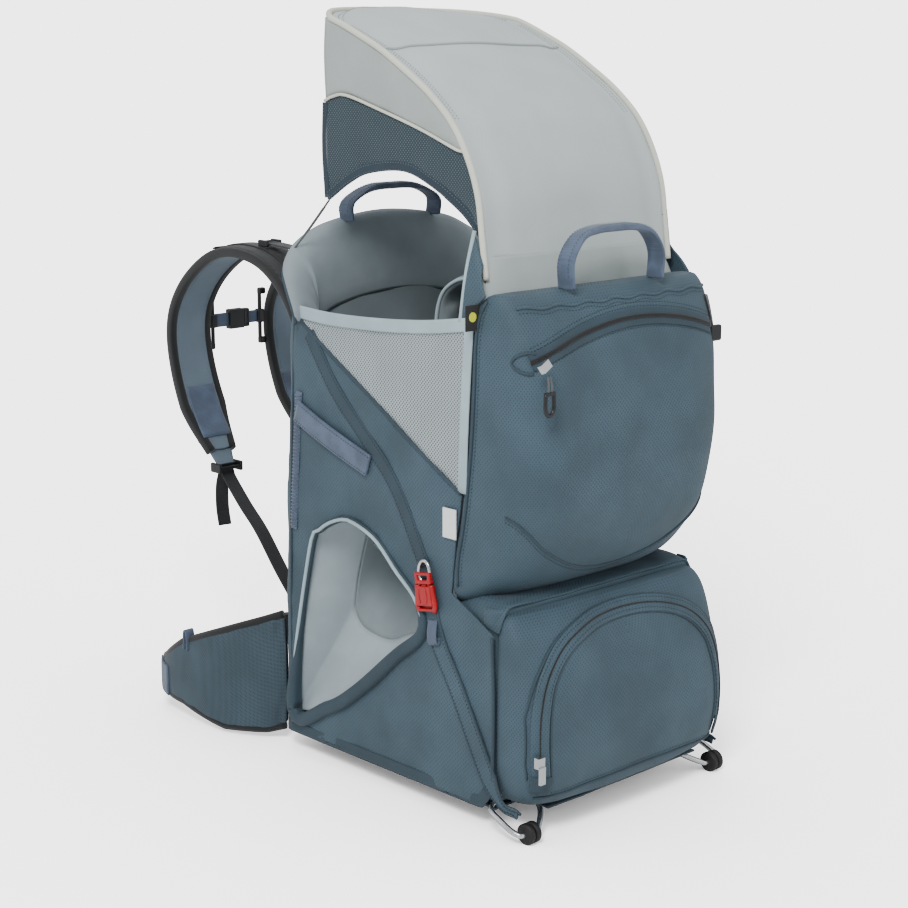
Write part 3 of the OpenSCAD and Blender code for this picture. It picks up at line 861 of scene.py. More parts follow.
        # the fold of cloth where daypack and side meet, with its piping
        ridge = [wall(sign, u, z, 2.2) for u, z in smooth_line([(-130, 62), (-131, 150), (-128, 226)], 24)]
        fold_in(tube(f"front_piping_{side}", ridge, 2.2, m["pack_dark"]))


def mirrored(half):
    """An outline from its left half, whose last point lies on the middle."""
    return half + [(-x, *rest) for x, *rest in half[-2::-1]]


def hem_normals(sign, path):
    """Outward normals round the pack's side for a level path."""
    ahead = unit(np.gradient(np.array(path), axis=0))
    out = np.cross(ahead, (0, 0, 1.0))
    return unit(out * np.sign(out[0][0] * sign))


def mesh_panels(m):
    low = smooth_line(MESH_EDGE, 40)
    top = smooth_line(MESH_TOP, 40)
    for sign, side in SIDES:
        rows = []
        for k in np.linspace(0, 1, 20):
            row = []
            for a, b in zip(low, top):
                u, z = a + (b - a) * k
                sink = (-5 * math.sin(math.pi * k) * math.sin(math.pi * (u + 91) / 300)
                        + crease(u, 9, z, 40, 1.6))
                row.append(wall(sign, u, z, sink))
            rows.append(row)
        mesh = draped(f"mesh_cloth_{side}", rows, m["side_mesh"])
        fold_in(cloth(mesh, "stretched", [f"side_cloth_{side}"], 1.6), [f"mesh_panel_{side}"])

        upper = [wall(sign, u, z, 2.0) for u, z in top]
        band = flat_strip(f"mesh_binding_{side}", upper, hem_normals(sign, upper), 15, 3.2, m["binding"])
        fold_in(band)
        lower = [wall(sign, u, z, 2.4) for u, z in low]
        cord = tube(f"mesh_piping_{side}", lower, 1.9, m["pack_dark"], 8)
        fold_in(cord)
        front = smooth_line([(-80, 380), (-84, 470), (-91, 568)], 24)
        edge = [wall(sign, u - 1, z, 2.2) for u, z in front]
        strip = flat_strip(f"mesh_front_edge_{side}", edge, (sign, 0, 0), 13, 2.6, m["binding"])
        fold_in(strip)


def inner_lining(m):
    # The cockpit's inside walls and the back lining wear the darker lining copy, which is partly painted
    # shade.
    outline = [(-66, 250), (-66, 556), (60, 545), (200, 543), (200, 322), (100, 326), (20, 292), (-30, 264)]
    for sign, side in SIDES:
        def place(u, z, sign=sign):
            return sign * (157 - 3 * math.sin(z / 60)), u, z + crease(u, 0, z, 50, 2)
        lining = cut_panel(f"cockpit_lining_{side}", outline, place, m["liner_dark"], [], 12)
        fold_in(cloth(lining, "hung", ["back_frame"], 1.5))
    rows = [[(x, 209 + 2 * math.sin(z / 40) + crease(x, 0, z, 60, 2), z) for x in np.linspace(-140, 140, 40)]
            for z in np.linspace(70, 585, 50)]
    inner = draped("back_lining", rows, m["liner_dark"])
    settle(cloth(inner, "stretched", ["back_frame"], 1.5), "root", ["back_panel"])


def cockpit_rim(m):
    half = [(-165, 192, 548), (-164, 207, 583), (-157, 221, 607), (-135, 233, 623), (-91, 237, 640),
            (0, 239, 650)]
    route = smooth_line(mirrored(half), 80)
    section = [(9, -46), (11, -24), (10, -4), (5, 7), (-6, 9), (-20, 3), (-29, -20), (-32, -52), (-30, -90),
               (-24, -91), (-25, -52), (-22, -22), (-8, -7), (2, -7), (4, -24), (4, -46)]
    ahead = unit(np.gradient(route, axis=0))
    out = unit(np.cross(ahead, (0, 0, 1.0)))
    out *= np.sign(np.sum(out * (route - (0, 60, 0)), axis=1, keepdims=True))
    rows, lip = [], []
    for p, n in zip(route, out):
        inner = 1 if p[2] > 600 else max(0.3, (p[2] - 530) / 70)
        outer = 0.25 + 0.9 * min(1, max(0, (152 - abs(p[0])) / 30))
        row = []
        for k, (a, b) in enumerate(section):
            flap = outer if k in (0, 1, 14, 15) else inner
            row.append(p + n * (a + crease(p[0], b, p[2], 30, 1.0))
                       + np.array((0, 0, b * (flap if b < 0 else 1))))
        rows.append(row)
        lip.append(p + n * 10 + np.array((0, 0, -46 * outer)))
    rim = stuffed("rim_liner", rows, m["liner"])
    settle(rim, "root", ["cockpit_rim"])
    settle(tube("rim_piping", lip, 2.0, m["pack_dark"]), "root")


def back_cover(m):
    half = [(-BACK_END - 6, 241.5), (-96, 239), (-88, 234), (-70, 232.6), (0, 232.4)]
    plan = smooth_line(mirrored(half), 60)
    rows = [[(x, y + crease(x, 3, z, 60, 0.6), z) for x, y in plan] for z in np.linspace(30, 598, 80)]
    cover = draped("back_cover", rows, m["pack"])
    settle(cloth(cover, "stretched", ["back_frame"], 1.6), "root")
    for sign in (-1, 1):
        seam = [(sign * 95, 241.5, z) for z in np.linspace(32, 590, 30)]
        settle(tube(f"back_seam_{sign + 2}", seam, 1.8, m["binding"], 8), "root")
    floor = [[(x, y, 22 + crease(x, y, 0, 70, 2)) for x in np.linspace(-150, 150, 40)]
             for y in np.linspace(-118, 226, 50)]
    base = draped("base_cloth", floor, m["pack_flat"])
    fold_in(cloth(base, "stretched", ["back_frame"], 2), ["base_panel"])


# ---- bags -----------------------------------------------------------------------------------
DAYPACK_LEVELS = [(246, 140, -62, -74, 2.4), (254, 158, -62, -98, 2.5), (272, 164, -62, -132, 2.7),
                  (302, 165, -64, -161, 3.1), (350, 165, -74, -184, 3.9), (430, 165, -84, -192, 4.8),
                  (500, 165, -89, -185, 5.2), (545, 165, -91, -177, 5.2), (575, 165, -97, -166, 5),
                  (592, 163, -106, -152, 5), (601, 158, -116, -136, 5)]
LOWER_LEVELS = [(33, 132, -128, -174, 4), (40, 155, -130, -187, 4), (60, 163, -131, -196, 4.6),
                (100, 165, -132, -200, 4.8), (150, 165, -132, -195, 4.8), (200, 164, -132, -181, 4.8),
                (230, 162, -132, -167, 4.6), (245, 156, -132, -155, 4.2), (251, 146, -133, -146, 4)]
ZIP = {"x": 10, "z": 215.8, "rise": 349.2, "radius": 370}


def zip_height(x):
    return ZIP["z"] + ZIP["rise"] * math.sqrt(1 - ((x - ZIP["x"]) / ZIP["radius"]) ** 2)


def on_face(skin, name, points, width, thick, material, lift=0.5):
    """A tape laid on a bag's face through (x, z) points, or a cord where width is None."""
    found = [skin.front(x, z, lift) for x, z in points]
    path = [p for p, _ in found]
    if width is None:
        return tube(name, path, thick, material, 8)
    return flat_strip(name, path, [n for _, n in found], width, thick, material)


def daypack(m):
    bag = rounded(loft("daypack_cloth", DAYPACK_LEVELS, -101, m["pack"], seed=1))
    settle(bag, "rear", ["daypack"])
    skin = Skin(bag)

    span = np.linspace(-149, 140, 70)
    arc = [(x, zip_height(x)) for x in span]
    tape = on_face(skin, "daypack_zip_tape", arc, 19, 1.6, m["pack_dark"], 0.8)
    settle(tape, "rear")
    coil = on_face(skin, "daypack_zip_coil", arc, 5.0, 2.6, m["edge"], 1.6)
    settle(coil, "rear")
    teeth = [skin.front(x, zip_height(x) + (1.5 if i % 2 else -1.5), 2.6)[0]
             for i, x in enumerate(np.linspace(-144, 138, 260))]
    settle(tube("daypack_zip_teeth", teeth, 0.55, m["black"], 5), "rear")
    for k in (-11, 11, 15):
        THREAD.sew("rear", [skin.front(x, zip_height(x) + k, 0.7)[0] for x in span])
    garage = [(-150 + 11 * math.cos(a), zip_height(-150) + 11 * math.sin(a))
              for a in np.linspace(1.0, 5.0, 20)]
    settle(on_face(skin, "zip_garage", garage, None, 1.6, m["pack_dark"], 0.8), "rear")

    low = smooth_line([(-160, 362), (-120, 322), (-60, 292), (0, 282), (60, 290), (120, 318), (160, 356)], 70)
    settle(on_face(skin, "daypack_low_seam", low, None, 1.5, m["pack_dark"]), "rear")
    THREAD.sew("rear", [skin.front(x, z - 5, 0.6)[0] for x, z in low])
    top = [(x, 586 - 1.2 * math.sin(x / 7.0)) for x in np.linspace(-152, 152, 110)]
    settle(on_face(skin, "daypack_top_band", top, None, 1.7, m["pack"]), "rear")
    THREAD.sew("rear", [skin.front(x, z - 5, 0.7)[0] for x, z in top])
    for sign in (-1, 1):
        edge = [skin.side(sign, seam - 9, z, 0.9)[0]
                for z, _, seam, *_ in smooth_line(DAYPACK_LEVELS[2:-1], 40)]
        settle(tube(f"daypack_piping_{sign + 2}", edge, 1.9, m["pack_dark"]), "rear")
        THREAD.sew("rear", [p - (0, 6, 0) for p in edge])

    clip = [skin.front(150, z, 1.4) for z in np.linspace(575, 538, 8)]
    settle(flat_strip("clip_webbing", [p for p, _ in clip], [n for _, n in clip], 14, 1.6, m["black_tape"]),
           "rear")
    place, _ = skin.front(150, 532, 3)
    body = block("clip", place - (9, 3, 9), place + (9, 3, 9), m["black"], mm=2)
    settle(body, "rear")


def lower_bag(m):
    bag = rounded(loft("lower_bag_cloth", LOWER_LEVELS, -137, m["pack"], 57, 40, 7, 2.8))
    settle(bag, "rear", ["lower_bag"])
    skin = Skin(bag)
    arch = smooth_line([(-148, 74), (-151, 110), (-148, 150), (-134, 186), (-102, 214), (-56, 229),
                        (0, 234), (56, 229), (102, 214), (134, 186), (148, 150), (151, 110), (148, 74)], 110)
    settle(on_face(skin, "pocket_flap", arch, 21, 3.4, m["pack"], 1.2), "rear")
    settle(on_face(skin, "pocket_zip", arch, None, 1.0, m["edge"], 3.2), "rear")
    for scale in (1.075, 0.925):
        edge = [(x * scale, 74 + (z - 74) * (1 + (scale - 1) * 0.7)) for x, z in arch]
        edge = [(min(161, max(-161, x)), z) for x, z in edge]
        settle(on_face(skin, f"pocket_seam_{int(scale * 100)}", edge, None, 1.5, m["pack_dark"], 0.8),
               "rear")
    for scale in (1.045, 0.955):
        THREAD.sew("rear",
                   [skin.front(x * scale, 74 + (z - 74) * (1 + (scale - 1) * 0.7), 3.3)[0] for x, z in arch])
    for sign in (-1, 1):
        low = [(sign * 148, z) for z in np.linspace(58, 78, 6)]
        settle(on_face(skin, f"zip_end_{sign + 2}", low, 24, 2.6, m["pack_dark"], 2.6), "rear")
    hem = [(x, 52 + 2 * math.cos(x / 60)) for x in np.linspace(-150, 150, 60)]
    settle(on_face(skin, "lower_bag_hem", hem, None, 1.6, m["pack_dark"], 0.5), "rear")
    THREAD.sew("rear", [skin.front(x, z + 5, 0.7)[0] for x, z in hem])

    # the panel behind the bag, between the daypack and the base
    half = [(-163, -112), (-162, -124), (-154, -132), (-140, -134.5), (0, -135)]
    plan = smooth_line(mirrored(half), 70)
    rows = [[(x, y + crease(x, 2, z, 60, 1.5), z) for x, y in plan] for z in np.linspace(36, 256, 40)]
    back = draped("rear_cover", rows, m["pack"])
    settle(cloth(back, "stretched", ["rear_stand"], 1.6), "rear")
    lid = [[(x, y, 258 + 4 * math.sin((y + 135) / 23) - 26 * max(0, (abs(x) - 146) / 18) ** 2
             + crease(x, y, 0, 40, 2))
            for x in np.linspace(-164, 164, 60)] for y in np.linspace(-136, -64, 20)]
    cover = draped("bag_lid", lid, m["pack"])
    settle(cloth(cover, "stretched", ["rear_cover"], 1.6), "rear")
    under = [[(x, y, 33 + crease(x, y, 0, 50, 1.5)) for x in np.linspace(-126, 126, 30)]
             for y in np.linspace(-176, -100, 14)]
    bottom = draped("lower_bag_base", under, m["pack_flat"])
    settle(cloth(bottom, "stretched", ["lower_bag"], 1.6), "rear")


# ---- child's seat ---------------------------------------------------------------------------
def seat_parts(m):
    route = smooth_line([(0, -60, 216), (0, 40, 214), (0, 120, 213), (0, 148, 218), (0, 159, 240),
                         (0, 161, 318)], 40)
    fade = end_taper(40, 0.72, 0.55)
    saddle = sweep("saddle_pad", route, (1, 0, 0), round_section(100, 20, 3, 28), m["seat"], scale=fade)
    pad(saddle, 5)
    settle(saddle, "seat", ["saddle"])
    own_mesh(saddle)
    for sign, side in SIDES:
        rows = [[(sign * (48 + 58 * k), y, 224 + 44 * k + crease(y, k * 60, 0, 30, 3))
                 for k in np.linspace(0, 1, 14)]
                for y in np.linspace(-50, 140, 30)]
        wing = draped(f"seat_wing_{side}", rows, m["seat_grey"])
        settle(cloth(wing, "hung", ["saddle_pad"], 2.5), "seat")
        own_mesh(wing)

    # the padded seat back, with its sewn channels
    rows = []
    levels = np.linspace(287, 563, 60)
    for z in levels:
        end = min(1, (z - 285) / 14, (565 - z) / 14)
        groove = 1 - 0.45 * max(math.exp(-((z - c) / 3.2) ** 2) for c in (340, 395, 450, 505))
        half = 104 + 8 * min(1, end) + 3 * math.sin(z / 30)
        row = []
        for s, h in round_section(2 * half, 19, 3.4, 44):
            rib = 1 - 0.4 * math.exp(-((abs(s) - 62) / 3.5) ** 2)
            row.append((s,
                        -79 + h * groove * rib * max(0.3, end) + (crease(s, 0, z, 30, 1.2) if h > 0 else 0),
                        z))
        rows.append(row)
    back = stuffed("seat_back_pad", rows, m["seat"])
    settle(back, "rear", ["seat_back"])


def child_pads(m):
    parts = []
    line = smooth_line([(-62, 548), (-52, 578), (-20, 597), (12, 598), (42, 580), (54, 545), (50, 505),
                        (44, 466)], 44)
    for sign, side in SIDES:
        route = [(sign * (58 + 5 * math.sin(math.pi * i / 43)), y, z) for i, (y, z) in enumerate(line)]
        fade = end_taper(44, 0.8, 0.6)
        strap = sweep(f"child_strap_{side}", route, (1, 0, 0), round_section(34, 11, 3, 18), m["seat"],
                      scale=fade)
        pad(strap, 3, 5)
        settle(strap, "child_pads", ["child_harness"])
        for edge in (-1, 1):
            parts.append(tube(f"e{side}{edge}", [(x + edge * 17.5, y, z) for x, y, z in route], 2.2,
                              m["binding"], 8))
        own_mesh(strap)
    chest = [(x, 53, 520 + 3 * math.cos(x / 30)) for x in np.linspace(-56, 56, 20)]
    parts.append(flat_strip("chest", chest, (0, 1, 0), 20, 2, m["black_tape"]))
    parts.append(block("chest_buckle", (-18, 50, 507), (18, 60, 533), m["black"], mm=3))
    trim = settle(join("child_pad_trim", parts), "child_pads")
    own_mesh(trim)


# ---- webbing, handles and buckles on the sides ------------------------------------------------
def handle(name, y, z, hw, rise, width, body, node, m):
    """A webbing grab loop with a rolled grip and two rows of stitches along it."""
    route = smooth_line([(-hw, y, z), (-hw - 1, y, z + rise * 0.5), (-hw + 16, y, z + rise - 8),
                         (-hw + 40, y, z + rise - 1), (0, y, z + rise), (hw - 40, y, z + rise - 1),
                         (hw - 16, y, z + rise - 8), (hw + 1, y, z + rise * 0.5), (hw, y, z)], 70)
    fade = []
    for i in range(70):
        mid = min(1, max(0, (i - 14) / 10), max(0, (55 - i) / 10))
        fade.append((1 - 0.25 * mid, 1 + 1.0 * mid))
    loop = sweep(name, route, (0, 1, 0), round_section(width, 4.2, 4, 20), m["tape_flat"], scale=fade)
    settle(rounded(loop), body, [node])
    for edge in (-1, 1):
        line = [p + (0, edge * width * 0.3, 0) + unit(p - (0, y, z + rise * 0.3)) * 4.6 for p in route[4:-4]]
        THREAD.sew(body, line)


def side_webbing(m):
    handle("top_loop", -144, 600, 72, 62, 25, "handle_top", "top_handle", m)
    handle("front_loop", 221, 648, 70, 40, 25, "handle_front", "front_handle", m)
    for sign, side in SIDES:
        grip = smooth_line([(200, 432), (150, 413), (71, 386)], 40)
        path = [wall(sign, u, z, 5.5 + 1.6 * math.sin(math.pi * i / 39)) for i, (u, z) in enumerate(grip)]
        tape = flat_strip(f"side_grip_{side}", path, (sign, 0, 0), 27, 3.4, m["tape"])
        fold_in(tape, ["side_handles"])
        for k in (-10.5, 10.5):
            THREAD.sew("fold", [np.array(p) + (sign * 2.0, -0.32 * k, 0.95 * k) for p in path])

        upper = smooth_line([(178, 527), (134, 468), (91, 428), (30, 370), (-20, 286)], 60)
        path = [wall(sign, u, z, 2.6) for u, z in upper]
        stay = flat_strip(f"upper_stay_{side}", path, (sign, 0, 0), 20, 2.2, m["pack_dark"])
        fold_in(stay, ["upper_stays"])
        for k in (-8, 8):
            THREAD.sew("fold", [np.array(p) + (sign * 1.2, k * 0.7, -k * 0.6) for p in path])

        lower = smooth_line([(-30, 240), (-44, 200), (-76, 150), (-136, 46), (-170, 33)], 60)
        path = [(sign * (167.5 + 1.2 * math.sin(math.pi * i / 59)), u, z) for i, (u, z) in enumerate(lower)]
        taper = [min(1, 0.42 + max(0, 52 - i) / 10) for i in range(60)]
        stay = flat_strip(f"lower_stay_{side}", path, (sign, 0, 0), 25, 2.0, m["pack"],
                          [(t, 1) for t in taper])
        settle(stay, "rear", ["lower_stays"])
        for k in (-12, 12):
            edge = [np.array(p) + (0, k * t * 0.84, -k * t * 0.46) for p, t in zip(path, taper)]
            settle(tube(f"lower_stay_edge_{side}_{k + 12}", edge, 1.5, m["pack_dark"], 6), "rear")
            THREAD.sew("rear",
                       [np.array(p) + (sign * 1.5, k * t * 0.66, -k * t * 0.36) for p, t in zip(path, taper)])
        tail = smooth_line([(sign * x, y, z) for x, y, z in
                            ((169, -36, 226), (173, -38, 214), (174, -40, 203), (171, -41, 199),
                             (169.5, -40, 207))], 20)
        settle(flat_strip(f"stay_tail_{side}", tail, (sign, 0, 0), 15, 1.8, m["tape"]), "rear")
        ring = [(sign * 171, -24 + a, 280 + b) for a, b in circle(27, 9, 13)]
        fold_in(tube(f"stay_ring_{side}", ring, 2.2, m["wire"], closed=True))


BUCKLE_Y, BUCKLE_Z, BUCKLE_LEAN = -29, 248, math.atan2(7, 41)


def side_buckles(m):
    def turned(sign):
        c, s = math.cos(BUCKLE_LEAN), math.sin(BUCKLE_LEAN)

        def turn(x, y, z):
            return sign * (SIDE_X + 3.5 + x), BUCKLE_Y + y * c + z * s, BUCKLE_Z - y * s + z * c
        return turn

    for sign, side in SIDES:
        turn = turned(sign)
        parts = [block("plate", (0, -13, -12), (2.6, 13, 18), m["red"], turn, 1.6),
                 block("cap", (6.4, -12.5, -4), (9, 12.5, 17), m["red"], turn, 1.6),
                 block("bar0", (1, -13, -12), (8, 13, -8.5), m["red"], turn, 1.4),
                 block("bar1", (3, -13, -5.4), (9, 13, -2.6), m["red"], turn, 1.2)]
        for k in (-1, 1):
            arm = [turn(4.6, k * y, z)
                   for y, z in smooth_line([(11.5, -12), (14.2, -6), (13.4, 2), (11.8, 12), (11.4, 18)], 16)]
            parts.append(tube(f"arm{k}", arm, 3.2, m["red"], 10))
            rib = [turn(9, k * y, z) for y, z in smooth_line([(5, -2), (6.5, 6), (5.2, 15)], 10)]
            parts.append(tube(f"rib{k}", rib, 1.0, m["red"], 6))
        settle(join(f"side_buckle_{side}", parts), "rear", [f"side_buckle_female_{side}"])

        parts = [block("tongue", (3, -4, 1), (6, 4, 19), m["red"], turn, 1),
                 block("head", (1, -13, 19), (7.6, 13, 23.5), m["red"], turn, 1.6),
                 block("rail", (2, -13, 28.6), (7, 13, 32.4), m["red"], turn, 1.4)]
        for k in (-1, 1):
            prong = [turn(4.4, k * y, z)
                     for y, z in smooth_line([(7, 20), (9.0, 12), (8.4, 5), (6, 1.5)], 14)]
            parts.append(tube(f"prong{k}", prong, 1.9, m["red"], 8))
            parts.append(block(f"cheek{k}", (2, k * 10.4 - 2.2, 20), (7.2, k * 10.4 + 2.2, 32), m["red"],
                               turn, 1.2))
        settle(join(f"side_release_{side}", parts), f"side_release_{side[0]}",
               [f"side_buckle_male_{side}"])


def tabs(m):
    white = block("white_tab", (-170.5, -73, 326), (-168.5, -53, 360), m["white"], mm=0.8)
    fold = tube("white_tab_hem", [(-169.6, -73, z) for z in np.linspace(326, 360, 12)], 1.2, m["white"], 8)
    settle(join("side_tab", [white, fold]), "rear", ["side_tabs"])
    dark = block("sun_tab", (-183, -104, 561), (-164, -101.5, 589), m["edge"], mm=0.8)
    disc = [(-174 + a, -104.5, 576 + b) for a, b in circle(24, 5.2)]
    sun = thicken(make("sun", disc, [tuple(range(24))], m["yellow"], smooth=False), 0.5)
    settle(join("shade_tab", [dark, sun]), "rear")
    for z in (118, 146):
        rung = block("pull", (165.5, -160, z), (172.5, -154.5, z + 22), m["black"], mm=1.6)
        tail = block("tail", (167, -166, z + 6), (171, -160, z + 12), m["black"], mm=1.2)
        settle(join(f"pull_{z}", [rung, tail]), "rear", ["compression_pulls"])


# ---- sunshade -------------------------------------------------------------------------------
SHADE_LINE = [(-98, 612), (-92, 655), (-85, 700), (-69, 740), (-45, 775), (-10, 805), (30, 830), (66, 850),
              (100, 865), (150, 884), (195, 893), (240, 897)]
WING_HEM = [(-88, 655), (-60, 680), (-10, 707), (36, 721), (95, 716), (130, 703), (168, 681)]
WING_SEAM = [(-66, 745), (-52, 748), (3, 767), (69, 786), (128, 801), (153, 799), (166, 794)]
SHADE_HALF, BRIM_Y, BRIM_R = 147, 68, 169


def shade_half(y):
    """Half width of the sunshade at y: straight sides, then a round brim."""
    reach = max(0, BRIM_R**2 - max(0, y - BRIM_Y) ** 2)
    return min(SHADE_HALF, math.sqrt(reach))


def sunshade(m):
    line = smooth_line(SHADE_LINE, 90)
    line[:, 0] = np.minimum(line[:, 0], BRIM_Y + BRIM_R - 0.5)
    rows = []
    for y, z in line:
        rise = 4 + 5 * math.sin(min(1, max(0, (y + 90) / 320)) * math.pi)
        row = []
        for s in np.linspace(-1, 1, 49):
            half = max(4, shade_half(y))
            sag = rise * (1 - s * s) - 3.5 * math.exp(-((abs(s) - 0.86) / 0.1) ** 2) * (half > 60)
            lift = sag + crease(s * 120, y, z, 75, 2.6, 3)
            row.append((s * half, y - (lift * 0.8 if y < -40 else 0), z + (lift if y >= -40 else lift * 0.4)))
        rows.append(row)
    sheet = cloth(draped("shade_cloth", rows, m["shade"]), "stretched", ["canopy_hoop"], 2)
    settle(sheet, "canopy", ["canopy_sheet"])
    skin = Skin(sheet)

    # cream piping down both sides and round the brim
    side = [(shade_half(y) + 1.5, y, z + 0.6) for y, z in line if y < 150]
    brim = []
    for turn in np.linspace(math.radians(30), math.radians(150), 60):
        y = BRIM_Y + (BRIM_R + 2) * math.sin(turn)
        height = np.interp(min(y, BRIM_Y + BRIM_R), line[:, 0], line[:, 1])
        brim.append(((BRIM_R + 2) * math.cos(turn), y, float(height) + 0.6))
    edge = side + brim + [(-x, y, z) for x, y, z in side[::-1]]
    settle(tube("shade_piping", smooth_line(edge, 260), 3.4, m["piping"], 12), "canopy",
           ["canopy_hoop"])
    for inset in (9, 14):
        rim = []
        for turn in np.linspace(math.radians(33), math.radians(147), 50):
            r = BRIM_R - inset
            rim.append(skin.top(r * math.cos(turn), BRIM_Y + r * math.sin(turn), 0.8)[0])
        THREAD.sew("canopy", rim)
        for sign in (-1, 1):
            rows = [skin.top(sign * (SHADE_HALF - inset), y, 0.8)[0] for y, z in line if -40 < y < 140]
            THREAD.sew("canopy", rows)
    across = [skin.top(x, 62 + 0.0006 * x * x, 0.8)[0] for x in np.linspace(-136, 136, 50)]
    settle(tube("shade_seam", across, 1.6, m["shade_side"], 8), "canopy")
    THREAD.sew("canopy", [p + (0, 6, 0.4) for p in across])

    for sign, side_name in SIDES:
        wing(sign, side_name, line, m)

    # the band between the daypack and the sunshade
    half = [(-158, -92), (-150, -104), (-120, -110), (0, -112)]
    plan = smooth_line(mirrored(half), 60)
    rows = []
    for z in np.linspace(590, 636, 14):
        k = (z - 590) / 46
        rows.append([(x * (1 - 0.06 * k), y + 13 * k + crease(x, 0, z, 30, 1.6), z) for x, y in plan])
    band = cloth(draped("shade_base", rows, m["shade_side"]), "stretched", ["rear_stand"], 1.8)
    bridge(band, (0, -98, 598), (0, -96, 632))
    for sign, side_name in SIDES:
        gusset = []
        for k in np.linspace(0, 1, 14):
            low = np.array((sign * 165.5, -78 - 38 * k, 568 + 30 * k))
            high = np.array((sign * (149 + 3 * k), -82 - 14 * k, 662 - 34 * k))
            gusset.append([low + (high - low) * j + (sign * 3 * math.sin(math.pi * j), 0, 0)
                           for j in np.linspace(0, 1, 16)])
        side_cloth = cloth(draped(f"shade_gusset_{side_name}", gusset, m["pack"]), "stretched",
                           ["rear_stand"], 1.8)
        bridge(side_cloth, (0, -98, 590), (0, -90, 650))
        trim = smooth_line([(sign * 167, -78, 568), (sign * 160, -80, 620), (sign * 150, -82, 664)], 20)
        piping = tube(f"gusset_piping_{side_name}", trim, 2.4, m["binding"])
        bridge(piping, (0, -98, 590), (0, -90, 650))


def wing(sign, side, line, m):
    """The sunshade's hanging side: a light upper panel, a pale seam, dark mesh and a dark hem."""
    top = smooth_line([p for p in line if p[0] > -66 and p[0] < 166], 50)
    seam = smooth_line(WING_SEAM, 50)
    low_top = smooth_line([(-87, 690), (-79, 722), *WING_SEAM], 60)
    hem = smooth_line(WING_HEM, 60)

    def hang(upper, lower, x0, x1, count, belly):
        rows = []
        for k in np.linspace(0, 1, count):
            rows.append([(sign * (x0 + (x1 - x0) * k + belly * math.sin(math.pi * k)
                                  + crease(a[0], 4, a[1] - 60 * k, 34, 1.0)),
                          *(a + (b - a) * k)) for a, b in zip(upper, lower)])
        return rows
    light = draped(f"wing_light_{side}", hang(top, seam, 148.5, 147, 12, 2), m["shade_side"])
    settle(cloth(light, "hung", ["shade_cloth"], 1.2), "canopy", [f"canopy_side_{side}"])
    dark = draped(f"wing_mesh_{side}", hang(low_top, hem, 147, 143.5, 16, 2.5), m["shade_mesh"])
    settle(cloth(dark, "hung", ["shade_cloth"], 1.2), "canopy")
    cord = [(sign * 148.6, y, z) for y, z in low_top]
    settle(tube(f"wing_seam_{side}", cord, 1.8, m["piping"]), "canopy")
    band = [(sign * 144.6, y, z + 4.5) for y, z in hem]
    settle(flat_strip(f"wing_hem_{side}", band, (sign, 0, 0), 11, 2.4, m["hem"]), "canopy")
    for k in (0.5, 8.5):
        THREAD.sew("canopy", [(sign * 146.2, y, z + k) for y, z in hem])
    front = smooth_line([(sign * 147.5, 166, 792), (sign * 146, 170, 740), (sign * 144.5, 168, 684)], 24)
    settle(flat_strip(f"wing_front_{side}", front, (sign, 0, 0), 9, 2.4, m["hem"]), "canopy")

    cord = smooth_line([(sign * 144, 166, 681), (sign * 146.5, 201, 645), (sign * 149, 237, 611)], 20)
    hook = [block("hook", (sign * 149 - 4, 232.5, 598.5), (sign * 149 + 4, 241.5, 611), m["black"], mm=2),
            tube("curl", [(sign * 149, 240 + 5 * math.cos(a), 600 + 5 * math.sin(a))
                          for a in np.linspace(-2.6, 1.2, 14)],
                 1.3, m["black"], 8)]
    settle(join(f"shade_hook_{side}", hook), "canopy")
    settle(tube(f"shade_cord_{side}", cord, 1.2, m["cord"], 8), "canopy", ["canopy_cords"])


# ---- shoulder harness -----------------------------------------------------------------------
STRAP_LINE = [(256, 500), (290, 553), (335, 588), (390, 600), (445, 592), (497, 560), (530, 520), (540, 478),
              (530, 425), (505, 370), (474, 328)]
WEBBING_LINE = [(458, 294), (425, 262), (390, 232), (345, 182), (300, 142), (258, 128)]
STRAP_X, STRAP_W = 81, 70
WEB_X = 80


